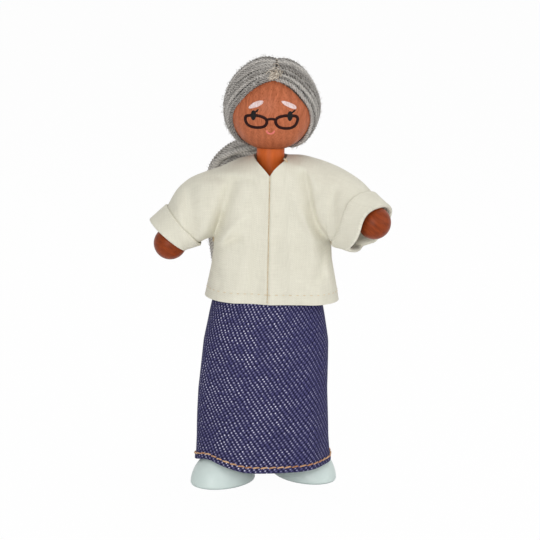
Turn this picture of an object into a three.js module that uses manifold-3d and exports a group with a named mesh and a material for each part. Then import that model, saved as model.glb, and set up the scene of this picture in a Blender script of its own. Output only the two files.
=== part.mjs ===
// A wooden dolls' house doll in cloth clothes, about 130 mm tall, standing on its own two shoes.
// Millimetres, +Z up. The doll faces -Y, so its right hand is on the -X side.
// A turned wooden torso carries the neck, the head and four bendable limbs of cotton cord over
// steel wire. The clothes are sewn on: a wide-sleeved blouse, and a denim skirt on an elastic.

import * as THREE from 'three';
import { mergeVertices } from 'three/addons/utils/BufferGeometryUtils.js';
import Module from 'manifold-3d';

const wasm = await Module();
wasm.setup();

// Fits
const CLEARANCE = 0.3;

// Shoes and stance
const SHOE_LENGTH = 24;
const SHOE_WIDTH = 17.5;
const SHOE_HEIGHT = 9.5;
const TOE_OUT = THREE.MathUtils.degToRad(30);
const STANCE_WIDTH = 24.8;
const STRIDE = 7.8;
const ANKLE_ABOVE_SHOE = 2;
const SHOE_SOCKET_DEPTH = 4;

// Legs and arms
const LIMB_CORD_DIAMETER = 4;
const WIRE_DIAMETER = 1.2;
const SHIN_RISE = 15.5;
const THIGH_RISE = 19;
const KNEE_SPACING = 18.6;
const HIP_SPACING = 13;
const UPPER_ARM_LENGTH = 8.5;
const FOREARM_LENGTH = 12.2;
const HAND_DIAMETER = 10;
const HAND_SOCKET_DEPTH = 3;
const CORD_END_FROM_PIVOT = 0.65;
const WIRE_END_FROM_PIVOT = 0.4;
const WIRE_PAST_CORD = 2;

// Torso and neck
const TORSO_LENGTH = 44.4;
const TORSO_WIDTH = 22;
const TORSO_DEPTH = 14;
const HIP_BELOW_TORSO = 4;
const HIP_SOCKET_DEPTH = 6;
const HIP_WIRE_DEPTH = 10;
const NECK_DIAMETER = 8.4;
const NECK_SHOWING = 7.4;
const NECK_SOCKET_DEPTH = 5.4;
const NECK_IN_HEAD = 4;
const SOCKET_WALL = 0.4;
const SHOULDER_SOCKET_DEPTH = 3.2;
const SHOULDER_SPACING = 29;

// Head and hair
const HEAD_DIAMETER = 26;
const HAIR_THICKNESS = 1.9;
const HAIR_LOCKS = 7;
const PARTING_DEPTH = 0.9;
const TIE_WIDTH = 2;
const TIE_THICKNESS = 0.9;
const PONYTAIL_NECK_DIAMETER = 4.6;
const PONYTAIL_DIAMETER = 11;
const PONYTAIL_DROP = 45;

// Clothes
const BLOUSE_CLOTH = 0.6;
const BLOUSE_LENGTH = 44.3;
const COLLAR_RISE = 5.9;
const BLOUSE_CHEST_WIDTH = 36.8;
const BLOUSE_HEM_WIDTH = 40.4;
const BLOUSE_DEPTH = 23;
const BLOUSE_SQUARENESS = 2.8;
const NECKLINE_EASE = 0.9;
const NECKLINE_DROP = 5.3;
const CUFF_WIDTH = 5.6;
const CUFF_FOLD = 0.4;
const CUFF_EASE_ACROSS = 1.6;
const CUFF_EASE_DOWN = 2.3;
const CUFF_TAPER = 0.6;
const CUFF_EDGE_BEFORE_HAND = 1.7;
const ARMHOLE_BEYOND_SHOULDER = 2.2;
const SLEEVE_ROOT_DEPTH = 17.4;
const UNDERARM_SLOPE = 0.63;
const SKIRT_CLOTH = 0.7;
const SKIRT_TOP_WIDTH = 33.2;
const SKIRT_TOP_DEPTH = 20;
const SKIRT_HEM_WIDTH = 40.6;
const SKIRT_HEM_DEPTH = 30;
const SKIRT_FOLD_DEPTH = 0.6;
const SKIRT_FOLDS = 7;
const SKIRT_SQUARENESS = 2.5;
const HEM_ABOVE_FLOOR = 5.2;
const WAIST_ABOVE_TORSO_FOOT = 14;
const ELASTIC_WIDTH = 3;
const ELASTIC_THICKNESS = 0.6;

// Heights worked out from the sizes above, with the soles at zero
const ankleHeight = SHOE_HEIGHT + ANKLE_ABOVE_SHOE;
const kneeHeight = ankleHeight + SHIN_RISE;
const hipHeight = kneeHeight + THIGH_RISE;
const torsoFoot = hipHeight + HIP_BELOW_TORSO;
const torsoTop = torsoFoot + TORSO_LENGTH;
const cordRadius = LIMB_CORD_DIAMETER / 2;
const wireRadius = WIRE_DIAMETER / 2;
const cordBoreRadius = cordRadius + CLEARANCE;
const wireBoreRadius = wireRadius + CLEARANCE;
const shoulderHeight = torsoTop - NECK_SOCKET_DEPTH - SOCKET_WALL - cordBoreRadius;
const headRadius = HEAD_DIAMETER / 2;
const headCentre = new THREE.Vector3(0, 0, torsoTop + NECK_SHOWING + headRadius);
const waistHeight = torsoFoot + WAIST_ABOVE_TORSO_FOOT;
const collarHeight = torsoTop + COLLAR_RISE;
const blouseHemHeight = collarHeight - BLOUSE_LENGTH;

// Arm poses at rest, in degrees: how far each stretch hangs below level and swings forward. With each
// goes the sleeve over it: the height and the top of its root, and how far off the arm its end sits.
const ARM_POSE = {
  right: {
    side: -1,
    upper: [30, 0],
    fore: [49, 0],
    rootHeight: 21,
    rootTopAboveTorso: 4.2,
    rootLift: -1.1,
    cuffSeamLift: 1.1,
    cuffEdgeLift: 1.5,
  },
  left: {
    side: 1,
    upper: [3.5, 28],
    fore: [17.6, 37.4],
    rootHeight: 24,
    rootTopAboveTorso: 5.8,
    rootLift: 0.9,
    cuffSeamLift: -0.6,
    cuffEdgeLift: -1.8,
  },
};

const WOOD_HEAD = { color: 0xbe643c, roughness: 0.5, metalness: 0 };
const WOOD_NECK = { color: 0xb95523, roughness: 0.5, metalness: 0 };
const WOOD_HAND = { color: 0x96411e, roughness: 0.5, metalness: 0 };
const WOOD_RAW = { color: 0xd2b48c, roughness: 0.7, metalness: 0 };
const SHOE_PAINT = { color: 0xc8d6d1, roughness: 0.55, metalness: 0 };
const YARN = { color: 0xa5a098, roughness: 0.95, metalness: 0 };
const CREAM_COTTON = { color: 0xebe8da, roughness: 0.95, metalness: 0 };
const DENIM = { color: 0x3c3a69, roughness: 0.9, metalness: 0 };
const COTTON_CORD = { color: 0xe6e0d0, roughness: 0.95, metalness: 0 };
const STEEL = { color: 0x9a9a9a, roughness: 0.35, metalness: 1 };
const ELASTIC = { color: 0xf2f2ee, roughness: 0.8, metalness: 0 };

const doll = new THREE.Group();

function vector(x, y, z) {
  return new THREE.Vector3(x, y, z);
}

// A closed surface whose faces point out, whichever way its maker went round
function facingOut(geometry) {
  const plain = geometry.index ? geometry.toNonIndexed() : geometry;
  const position = plain.getAttribute('position');
  const [a, b, c] = [vector(0, 0, 0), vector(0, 0, 0), vector(0, 0, 0)];
  let volume = 0;
  for (let i = 0; i < position.count; i += 3) {
    a.fromBufferAttribute(position, i);
    b.fromBufferAttribute(position, i + 1);
    c.fromBufferAttribute(position, i + 2);
    volume += a.dot(b.cross(c));
  }
  const corners = [];
  for (let i = 0; i < position.count; i += 3) {
    const order = volume > 0 ? [i, i + 1, i + 2] : [i, i + 2, i + 1];
    for (const k of order) corners.push(position.getX(k), position.getY(k), position.getZ(k));
  }
  const out = new THREE.BufferGeometry();
  out.setAttribute('position', new THREE.Float32BufferAttribute(corners, 3));
  return mergeVertices(out, 1e-4);
}

function toSolid(geometry) {
  const merged = facingOut(geometry);
  const vertProperties = new Float32Array(merged.getAttribute('position').array);
  const triVerts = new Uint32Array(merged.index.array);
  return new wasm.Manifold(new wasm.Mesh({ numProp: 3, vertProperties, triVerts }));
}

function toGeometry(solid) {
  const mesh = solid.getMesh();
  const geometry = new THREE.BufferGeometry();
  geometry.setAttribute('position', new THREE.Float32BufferAttribute(mesh.vertProperties, 3));
  geometry.setIndex(new THREE.Uint32BufferAttribute(mesh.triVerts, 1));
  return geometry;
}

function addPiece(name, geometry, look) {
  const shown = geometry.toNonIndexed();
  shown.computeVertexNormals();
  const mesh = new THREE.Mesh(shown, new THREE.MeshStandardMaterial(look));
  mesh.name = name;
  doll.add(mesh);
  return mesh;
}

// A solid through a stack of rings of points, closed by a fan at each end
function loft(rings) {
  const corners = [];
  const count = rings[0].length;
  const triangle = (a, b, c) => corners.push(...a.toArray(), ...b.toArray(), ...c.toArray());
  for (let k = 0; k + 1 < rings.length; k += 1) {
    for (let i = 0; i < count; i += 1) {
      const j = (i + 1) % count;
      triangle(rings[k][i], rings[k][j], rings[k + 1][j]);
      triangle(rings[k][i], rings[k + 1][j], rings[k + 1][i]);
    }
  }
  for (const [ring, last] of [[rings[0], false], [rings[rings.length - 1], true]]) {
    const middle = ring.reduce((sum, point) => sum.add(point), vector(0, 0, 0)).divideScalar(count);
    for (let i = 0; i < count; i += 1) {
      const j = (i + 1) % count;
      if (last) triangle(ring[i], ring[j], middle);
      else triangle(ring[j], ring[i], middle);
    }
  }
  const geometry = new THREE.BufferGeometry();
  geometry.setAttribute('position', new THREE.Float32BufferAttribute(corners, 3));
  return facingOut(geometry);
}

// A wall between two grids of points of the same size; round says that the rows close on themselves
function wall(outer, inner, round) {
  const corners = [];
  const triangle = (a, b, c) => corners.push(...a.toArray(), ...b.toArray(), ...c.toArray());
  const quad = (a, b, c, d) => {
    triangle(a, b, c);
    triangle(a, c, d);
  };
  const rows = outer.length;
  const count = outer[0].length;
  const steps = round ? count : count - 1;
  for (let k = 0; k + 1 < rows; k += 1) {
    for (let i = 0; i < steps; i += 1) {
      const j = (i + 1) % count;
      quad(outer[k][i], outer[k][j], outer[k + 1][j], outer[k + 1][i]);
      quad(inner[k][i], inner[k + 1][i], inner[k + 1][j], inner[k][j]);
    }
  }
  for (let i = 0; i < steps; i += 1) {
    const j = (i + 1) % count;
    quad(outer[0][j], outer[0][i], inner[0][i], inner[0][j]);
    quad(outer[rows - 1][i], outer[rows - 1][j], inner[rows - 1][j], inner[rows - 1][i]);
  }
  if (!round) {
    for (let k = 0; k + 1 < rows; k += 1) {
      quad(outer[k][0], outer[k + 1][0], inner[k + 1][0], inner[k][0]);
      const e = count - 1;
      quad(outer[k + 1][e], outer[k][e], inner[k][e], inner[k + 1][e]);
    }
  }
  const geometry = new THREE.BufferGeometry();
  geometry.setAttribute('position', new THREE.Float32BufferAttribute(corners, 3));
  return facingOut(geometry);
}

// A point of a rounded oval: power 2 is an ellipse, and more is squarer
function ovalPoint(angle, halfWidth, halfDepth, power) {
  const c = Math.cos(angle);
  const s = Math.sin(angle);
  const reach = (Math.abs(c) ** power + Math.abs(s) ** power) ** (-1 / power);
  return [halfWidth * c * reach, halfDepth * s * reach];
}

function ovalRing(centre, across, deep, count, power) {
  const ring = [];
  for (let i = 0; i < count; i += 1) {
    const [u, v] = ovalPoint((2 * Math.PI * i) / count, 1, 1, power);
    ring.push(centre.clone().addScaledVector(across, u).addScaledVector(deep, v));
  }
  return ring;
}

function levelRing(height, halfWidth, halfDepth, count, power) {
  return ovalRing(vector(0, 0, height), vector(halfWidth, 0, 0), vector(0, halfDepth, 0), count, power);
}

// Sizes given at a few stations, read off a smooth curve at any place between them
function smoothStations(stations) {
  const curve = new THREE.CatmullRomCurve3(stations.map((row) => vector(...row)), false, 'centripetal');
  return (share) => curve.getPoint(share);
}

function cylinderBetween(from, to, radius, sides = 24) {
  const geometry = new THREE.CylinderGeometry(radius, radius, from.distanceTo(to), sides);
  const turn = new THREE.Quaternion().setFromUnitVectors(vector(0, 1, 0), to.clone().sub(from).normalize());
  geometry.applyQuaternion(turn);
  geometry.translate(...from.clone().add(to).divideScalar(2).toArray());
  return geometry;
}

// A round rod or tube that runs along +Y from zero, with each end flat or a half ball
function rodGeometry(radius, bore, length, roundStart, roundEnd, sides) {
  const arc = (centre, way) => {
    const points = [];
    const open = Math.acos(bore / radius);
    for (let k = 0; k <= 2; k += 1) {
      const angle = (open * k) / 2;
      points.push(new THREE.Vector2(radius * Math.cos(angle), centre + way * radius * Math.sin(angle)));
    }
    return points;
  };
  const flatStart = [new THREE.Vector2(bore, 0), new THREE.Vector2(radius, 0)];
  const start = roundStart ? arc(radius, -1).reverse() : flatStart;
  const flatEnd = [new THREE.Vector2(radius, length), new THREE.Vector2(bore, length)];
  const end = roundEnd ? arc(length - radius, 1) : flatEnd;
  const profile = [...start, ...end];
  if (bore > 0) profile.push(profile[0].clone());
  return facingOut(new THREE.LatheGeometry(profile, sides));
}

function addRod(name, from, to, radius, bore, rounds, look, sides) {
  const geometry = rodGeometry(radius, bore, from.distanceTo(to), rounds[0], rounds[1], sides);
  const rod = addPiece(name, geometry, look);
  rod.position.copy(from);
  rod.quaternion.setFromUnitVectors(vector(0, 1, 0), to.clone().sub(from).normalize());
  return rod;
}

function addCord(name, from, to, rounds) {
  return addRod(name, from, to, cordRadius, wireBoreRadius, rounds, COTTON_CORD, 12);
}

function addWire(name, from, to) {
  return addRod(name, from, to, wireRadius, 0, [true, true], STEEL, 8);
}

function towards(from, to, distance) {
  return from.clone().addScaledVector(to.clone().sub(from).normalize(), distance);
}

// A stretch of cord or wire from one pivot to the next, each end a little short of its pivot
function addCordBetween(name, from, to, endGap = CORD_END_FROM_PIVOT, rounds = [true, true]) {
  return addCord(name, towards(from, to, CORD_END_FROM_PIVOT), towards(to, from, endGap), rounds);
}

function addWireBetween(name, from, to, endGap = WIRE_END_FROM_PIVOT) {
  return addWire(name, towards(from, to, WIRE_END_FROM_PIVOT), towards(to, from, endGap));
}

// Torso: a turned and flattened block, narrower at the waist, bored for the neck and the limbs
const torsoProfile = smoothStations([
  [0.855, 0.8, 0],
  [0.955, 0.94, 0.018],
  [1, 1, 0.06],
  [0.965, 0.97, 0.17],
  [0.86, 0.885, 0.3],
  [0.93, 0.945, 0.52],
  [1, 1, 0.77],
  [0.93, 0.945, 0.89],
  [0.75, 0.84, 0.965],
  [0.54, 0.76, 1],
]);

function torsoHalfSize(height) {
  let low = 0;
  let high = 1;
  const share = (height - torsoFoot) / TORSO_LENGTH;
  for (let k = 0; k < 30; k += 1) {
    const middle = (low + high) / 2;
    if (torsoProfile(middle).z < share) low = middle;
    else high = middle;
  }
  const row = torsoProfile(low);
  return [(row.x * TORSO_WIDTH) / 2, (row.y * TORSO_DEPTH) / 2];
}

const shoulderPivot = (side) => vector((side * SHOULDER_SPACING) / 2, 0, shoulderHeight);
const hipPivot = (side) => vector((side * HIP_SPACING) / 2, 0, hipHeight);
const kneePivot = (side) => vector((side * KNEE_SPACING) / 2, 0, kneeHeight);
const anklePivot = (side) => vector((side * STANCE_WIDTH) / 2, (side * STRIDE) / 2, ankleHeight);
const shoulderSocketFoot = TORSO_WIDTH / 2 - SHOULDER_SOCKET_DEPTH;

function torsoBlock() {
  const rings = [];
  for (let k = 0; k <= 14; k += 1) {
    const row = torsoProfile(k / 14);
    const height = torsoFoot + row.z * TORSO_LENGTH;
    rings.push(levelRing(height, (row.x * TORSO_WIDTH) / 2, (row.y * TORSO_DEPTH) / 2, 24, 2.3));
  }
  let block = toSolid(loft(rings));
  const neckFoot = vector(0, 0, torsoTop - NECK_SOCKET_DEPTH);
  const outwards = (side) => vector(side * TORSO_WIDTH, 0, shoulderHeight);
  const cuts = [
    cylinderBetween(neckFoot, vector(0, 0, torsoTop + 1), NECK_DIAMETER / 2 + CLEARANCE),
    cylinderBetween(outwards(-1), outwards(1), wireBoreRadius, 12),
  ];
  for (const side of [-1, 1]) {
    const socketFoot = vector(side * shoulderSocketFoot, 0, shoulderHeight);
    cuts.push(cylinderBetween(socketFoot, outwards(side), cordBoreRadius, 16));
    const hip = hipPivot(side);
    const under = vector(hip.x, 0, torsoFoot - 1);
    cuts.push(cylinderBetween(under, vector(hip.x, 0, torsoFoot + HIP_SOCKET_DEPTH), cordBoreRadius, 16));
    cuts.push(cylinderBetween(under, vector(hip.x, 0, torsoFoot + HIP_WIRE_DEPTH), wireBoreRadius, 12));
  }
  for (const cut of cuts) block = block.subtract(toSolid(cut));
  return toGeometry(block);
}

addPiece('torso_block', torsoBlock(), WOOD_RAW);

// Neck: a dowel that stands in the torso and plugs into the head
const neckFootHeight = torsoTop - NECK_SOCKET_DEPTH + CLEARANCE;
const neckTopHeight = torsoTop + NECK_SHOWING + NECK_IN_HEAD - CLEARANCE;

function neckPeg() {
  const radius = NECK_DIAMETER / 2;
  const chamfer = 0.4;
  const profile = [
    [0, neckFootHeight],
    [radius - chamfer, neckFootHeight],
    [radius, neckFootHeight + chamfer],
    [radius, neckTopHeight - chamfer],
    [radius - chamfer, neckTopHeight],
    [0, neckTopHeight],
  ];
  const geometry = new THREE.LatheGeometry(profile.map(([r, h]) => new THREE.Vector2(r, h)), 28);
  geometry.rotateX(Math.PI / 2);
  return facingOut(geometry);
}

addPiece('neck_peg', neckPeg(), WOOD_NECK);

// Head: a turned ball with a blind bore for the neck
function headBall() {
  const ball = new THREE.SphereGeometry(headRadius, 32, 18);
  ball.rotateX(Math.PI / 2);
  ball.translate(...headCentre.toArray());
  const boreTop = vector(0, 0, torsoTop + NECK_SHOWING + NECK_IN_HEAD);
  const bore = cylinderBetween(vector(0, 0, torsoTop), boreTop, NECK_DIAMETER / 2 + CLEARANCE, 28);
  return toGeometry(toSolid(ball).subtract(toSolid(bore)));
}

addPiece('head_ball', headBall(), WOOD_HEAD);

// Hair: yarn laid from a centre parting round each side of the face to the nape.
// Directions are from the head's centre, for the doll's left side.
const hairline = new THREE.CatmullRomCurve3([
  vector(0, -0.755, 0.656),
  vector(0.36, -0.8, 0.49),
  vector(0.623, -0.742, 0.246),
  vector(0.83, -0.56, -0.02),
  vector(0.877, -0.377, -0.3),
  vector(0.738, -0.169, -0.654),
  vector(0.46, 0.34, -0.81),
  vector(0.21, 0.75, -0.62),
]);
const PARTING_END = THREE.MathUtils.degToRad(30);
const NAPE = THREE.MathUtils.degToRad(-38);

function hairDirection(across, along) {
  const front = hairline.getPoint(along).normalize();
  const angle = PARTING_END + (NAPE - PARTING_END) * along;
  const back = vector(0, Math.cos(angle), Math.sin(angle));
  const spread = front.angleTo(back);
  const a = Math.sin((1 - across) * spread) / Math.sin(spread);
  const b = Math.sin(across * spread) / Math.sin(spread);
  return front.multiplyScalar(a).addScaledVector(back, b).normalize();
}

function hairSide(side) {
  const outer = [];
  const inner = [];
  const across = HAIR_LOCKS * 3;
  const along = 10;
  const innerRadius = headRadius + CLEARANCE;
  for (let k = 0; k <= along; k += 1) {
    const outerRow = [];
    const innerRow = [];
    for (let i = 0; i <= across; i += 1) {
      const share = i / across;
      const direction = hairDirection(share, k / along);
      direction.x *= side;
      const edge = Math.min(1, share * 9);
      const rounding = Math.sqrt(1 - (1 - edge) ** 2 * 0.75);
      const parting = PARTING_DEPTH * Math.exp(-((k / along / 0.07) ** 2));
      const lock = 0.18 * Math.cos(2 * Math.PI * HAIR_LOCKS * share);
      const thickness = HAIR_THICKNESS * rounding - parting - lock;
      const shift = vector((side * CLEARANCE) / 2, 0, 0).add(headCentre);
      outerRow.push(direction.clone().multiplyScalar(innerRadius + thickness).add(shift));
      innerRow.push(direction.clone().multiplyScalar(innerRadius).add(shift));
    }
    outer.push(outerRow);
    inner.push(innerRow);
  }
  return wall(outer, inner, false);
}

addPiece('hair_right_side', hairSide(-1), YARN);
addPiece('hair_left_side', hairSide(1), YARN);

// Hair tie: a ring round the gathered yarn just under the nape
const tieRadius = PONYTAIL_NECK_DIAMETER / 2 + CLEARANCE + TIE_THICKNESS;
const hairRadius = headRadius + CLEARANCE + HAIR_THICKNESS;
const napeEnd = vector(0, Math.cos(NAPE), Math.sin(NAPE)).multiplyScalar(hairRadius);
const tieCentre = headCentre.clone().add(vector(0, napeEnd.y + 0.7, napeEnd.z - 0.8 - TIE_WIDTH / 2));

function hairTie() {
  const inside = tieRadius - TIE_THICKNESS;
  const half = TIE_WIDTH / 2;
  const soft = TIE_THICKNESS * 0.3;
  const profile = [
    [inside, -half],
    [tieRadius - soft, -half],
    [tieRadius, -half + soft],
    [tieRadius, half - soft],
    [tieRadius - soft, half],
    [inside, half],
    [inside, -half],
  ];
  const geometry = new THREE.LatheGeometry(profile.map(([r, h]) => new THREE.Vector2(r, h)), 24);
  geometry.rotateX(Math.PI / 2);
  return facingOut(geometry);
}

addPiece('hair_tie', hairTie(), YARN).position.copy(tieCentre);

// Ponytail: the yarn beyond the tie, swept down behind the right shoulder
function ponytail() {
  const root = tieCentre;
  const drop = PONYTAIL_DROP;
  const rootRadius = PONYTAIL_NECK_DIAMETER / 2;
  const fullRadius = PONYTAIL_DIAMETER / 2;
  const stations = [
    [0, 0, TIE_WIDTH / 2 + CLEARANCE, rootRadius],
    [0, 0, -TIE_WIDTH / 2 - 0.8, rootRadius],
    [-2.4, 0.9, -TIE_WIDTH / 2 - 3.7, fullRadius * 0.7],
    [-7, 2.6, -0.16 * drop, fullRadius * 0.93],
    [-11.5, 3.9, -0.25 * drop, fullRadius],
    [-15, 4.6, -0.37 * drop, fullRadius],
    [-16.8, 4.7, -0.54 * drop, fullRadius * 0.95],
    [-17, 4.3, -0.77 * drop, fullRadius * 0.8],
    [-16.3, 3.8, -0.95 * drop, fullRadius * 0.52],
    [-16, 3.6, -drop, fullRadius * 0.16],
  ];
  const places = stations.map(([x, y, z]) => vector(x, y, z).add(root));
  const path = new THREE.CatmullRomCurve3(places, false, 'centripetal');
  const radii = smoothStations(stations.map((row, k) => [row[3], k, 0]));
  const rings = [];
  const steps = 18;
  for (let k = 0; k <= steps; k += 1) {
    const share = k / steps;
    const tangent = path.getTangent(share);
    const across = vector(0, 1, 0).cross(tangent).normalize();
    const deep = tangent.clone().cross(across).normalize();
    const radius = radii(share).x;
    const centre = path.getPoint(share);
    rings.push(ovalRing(centre, across.multiplyScalar(radius), deep.multiplyScalar(radius), 14, 2));
  }
  return loft(rings);
}

addPiece('ponytail', ponytail(), YARN);

// Arms: the wire runs through the torso, and bends at the shoulder and halfway down each arm
const armWireEnd = SHOULDER_SPACING / 2 - WIRE_END_FROM_PIVOT;
addWire('arm_wire', vector(-armWireEnd, 0, shoulderHeight), vector(armWireEnd, 0, shoulderHeight));

function armDirection(side, [droop, forward]) {
  const down = THREE.MathUtils.degToRad(droop);
  const ahead = THREE.MathUtils.degToRad(forward);
  return vector(side * Math.cos(down) * Math.cos(ahead), -Math.cos(down) * Math.sin(ahead), -Math.sin(down));
}

function armPoints(pose) {
  const shoulder = shoulderPivot(pose.side);
  const upperWay = armDirection(pose.side, pose.upper);
  const foreWay = armDirection(pose.side, pose.fore);
  const elbow = shoulder.clone().addScaledVector(upperWay, UPPER_ARM_LENGTH);
  const hand = elbow.clone().addScaledVector(foreWay, FOREARM_LENGTH);
  return { shoulder, elbow, hand, upperWay, foreWay };
}

function handBall(arm) {
  const radius = HAND_DIAMETER / 2;
  const ball = new THREE.SphereGeometry(radius, 20, 12);
  ball.translate(...arm.hand.toArray());
  const mouth = arm.hand.clone().addScaledVector(arm.foreWay, -radius - 1);
  const cordSeat = arm.hand.clone().addScaledVector(arm.foreWay, HAND_SOCKET_DEPTH - radius);
  const wireSeat = arm.hand.clone().addScaledVector(arm.foreWay, HAND_SOCKET_DEPTH + WIRE_PAST_CORD - radius);
  return toGeometry(
    toSolid(ball)
      .subtract(toSolid(cylinderBetween(mouth, cordSeat, cordBoreRadius, 16)))
      .subtract(toSolid(cylinderBetween(mouth, wireSeat, wireBoreRadius, 12))),
  );
}

function addArm(name, pose) {
  const arm = armPoints(pose);
  const level = vector(pose.side, 0, 0);
  const socket = vector(pose.side * (shoulderSocketFoot + CLEARANCE), 0, shoulderHeight);
  const shoulderEnd = arm.shoulder.clone().addScaledVector(level, -CORD_END_FROM_PIVOT);
  addCord(`${name}_shoulder_cord`, socket, shoulderEnd, [false, true]);
  const { shoulder, elbow, hand } = arm;
  addCordBetween(`${name}_upper_arm_cord`, shoulder, elbow);
  addWireBetween(`${name}_upper_arm_wire`, shoulder, elbow);
  const seat = HAND_DIAMETER / 2 - HAND_SOCKET_DEPTH + CLEARANCE;
  addCordBetween(`${name}_forearm_cord`, elbow, hand, seat, [true, false]);
  addWireBetween(`${name}_forearm_wire`, elbow, hand, seat - WIRE_PAST_CORD);
  addPiece(`${name}_hand`, handBall(arm), WOOD_HAND);
}

addArm('right', ARM_POSE.right);
addArm('left', ARM_POSE.left);

// Legs: straight cords from the torso to the shoes, bending at the hip, the knee and the ankle
function shoeReach(angle, share) {
  const [x, y] = ovalPoint(angle, SHOE_WIDTH / 2, SHOE_LENGTH / 2, 2.1);
  const toe = y < 0 ? 1.06 : 0.94;
  return [x * share, y * toe * share];
}

function shoe(side) {
  const edge = 0.5;
  const levels = [[0, 0.94], [edge * 0.35, 0.975], [edge, 0.995]];
  const domeSteps = 7;
  for (let k = 0; k < domeSteps; k += 1) {
    const angle = THREE.MathUtils.degToRad(8 + (78 * k) / (domeSteps - 1));
    levels.push([SHOE_HEIGHT * Math.sin(angle), Math.cos(angle) ** 0.8]);
  }
  levels.push([SHOE_HEIGHT, 0.05]);
  const ankle = anklePivot(side);
  const rings = levels.map(([height, share]) => {
    const ring = [];
    for (let i = 0; i < 28; i += 1) {
      const [x, y] = shoeReach((2 * Math.PI * i) / 28, share);
      const turned = vector(x, y, height).applyAxisAngle(vector(0, 0, 1), side * TOE_OUT);
      ring.push(turned.add(vector(ankle.x, ankle.y, 0)));
    }
    return ring;
  });
  const top = vector(ankle.x, ankle.y, SHOE_HEIGHT + 1);
  const cordSeat = vector(ankle.x, ankle.y, SHOE_HEIGHT - SHOE_SOCKET_DEPTH);
  const wireSeat = vector(ankle.x, ankle.y, SHOE_HEIGHT - SHOE_SOCKET_DEPTH - WIRE_PAST_CORD);
  return toGeometry(
    toSolid(loft(rings))
      .subtract(toSolid(cylinderBetween(cordSeat, top, cordBoreRadius, 16)))
      .subtract(toSolid(cylinderBetween(wireSeat, top, wireBoreRadius, 12))),
  );
}

// Height of a shoe's dome over a point of the floor
function domeHeight(side, x, y) {
  const ankle = anklePivot(side);
  const local = vector(x - ankle.x, y - ankle.y, 0).applyAxisAngle(vector(0, 0, 1), -side * TOE_OUT);
  const toe = local.y < 0 ? 1.06 : 0.94;
  const share = Math.hypot(local.x / (SHOE_WIDTH / 2), local.y / ((SHOE_LENGTH / 2) * toe));
  return share < 1 ? SHOE_HEIGHT * Math.sqrt(1 - share ** 2.5) : 0;
}

function addLeg(name, side) {
  const hip = hipPivot(side);
  const knee = kneePivot(side);
  const ankle = anklePivot(side);
  const up = vector(0, 0, 1);
  const hipSeat = vector(hip.x, 0, torsoFoot + HIP_SOCKET_DEPTH - CLEARANCE);
  const hipWireTop = vector(hip.x, 0, torsoFoot + HIP_WIRE_DEPTH - CLEARANCE);
  addCord(`${name}_hip_cord`, hipSeat, hip.clone().addScaledVector(up, CORD_END_FROM_PIVOT), [false, true]);
  addWire(`${name}_hip_wire`, hipWireTop, hip.clone().addScaledVector(up, WIRE_END_FROM_PIVOT));
  addCordBetween(`${name}_thigh_cord`, hip, knee);
  addWireBetween(`${name}_thigh_wire`, hip, knee);
  addCordBetween(`${name}_shin_cord`, knee, ankle);
  addWireBetween(`${name}_shin_wire`, knee, ankle);
  const shoeSeat = vector(ankle.x, ankle.y, SHOE_HEIGHT - SHOE_SOCKET_DEPTH + CLEARANCE);
  const wireFoot = shoeSeat.clone().addScaledVector(up, -WIRE_PAST_CORD);
  const ankleEnd = ankle.clone().addScaledVector(up, -CORD_END_FROM_PIVOT);
  addCord(`${name}_ankle_cord`, shoeSeat, ankleEnd, [false, true]);
  addWire(`${name}_ankle_wire`, wireFoot, ankle.clone().addScaledVector(up, -WIRE_END_FROM_PIVOT));
  addPiece(`${name}_shoe`, shoe(side), SHOE_PAINT);
}

addLeg('right', -1);
addLeg('left', 1);

// Waist elastic: a flat band round the torso, which the skirt's top edge is gathered over
const [waistHalfWidth, waistHalfDepth] = torsoHalfSize(waistHeight);
const bandInside = CLEARANCE + 0.1;

function waistElastic() {
  const rows = (outside) => [-1, 1].map((way) => {
    const grow = bandInside + (outside ? ELASTIC_THICKNESS : 0);
    const height = waistHeight + (way * ELASTIC_WIDTH) / 2;
    return levelRing(height, waistHalfWidth + grow, waistHalfDepth + grow, 28, 2.3);
  });
  return wall(rows(true), rows(false), true);
}

addPiece('waist_elastic', waistElastic(), ELASTIC);

// Skirt: one tube of denim, gathered at the waist, in soft folds down to a hem that lies over the shoes
const skirtTop = waistHeight + ELASTIC_WIDTH / 2 + CLEARANCE;
const gather = bandInside + ELASTIC_THICKNESS + CLEARANCE + SKIRT_CLOTH;
const skirtStation = smoothStations([
  [waistHalfWidth + gather, waistHalfDepth + gather, 0],
  [waistHalfWidth + gather + 0.3, waistHalfDepth + gather + 0.3, 0.06],
  [SKIRT_TOP_WIDTH / 2, SKIRT_TOP_DEPTH / 2, 0.16],
  [SKIRT_TOP_WIDTH / 2 + 1.2, SKIRT_TOP_DEPTH / 2 + 1, 0.32],
  [SKIRT_HEM_WIDTH / 2 - 1.4, SKIRT_HEM_DEPTH / 2 - 2.6, 0.58],
  [SKIRT_HEM_WIDTH / 2 - 0.4, SKIRT_HEM_DEPTH / 2 - 1, 0.82],
  [SKIRT_HEM_WIDTH / 2, SKIRT_HEM_DEPTH / 2, 1],
]);

function skirtWave(angle, fall) {
  return SKIRT_FOLD_DEPTH * fall * Math.cos(SKIRT_FOLDS * angle + 0.9);
}

function hemHeight(x, y, angle) {
  const front = Math.max(0, -Math.sin(angle)) ** 8;
  const hanging = HEM_ABOVE_FLOOR + 1.4 * (1 - front);
  let height = hanging;
  for (const side of [-1, 1]) {
    for (const pull of [1, 0.98, 0.95, 0.92]) {
      height = Math.max(height, domeHeight(side, x * pull, y * pull) + CLEARANCE);
    }
  }
  return height;
}

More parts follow.
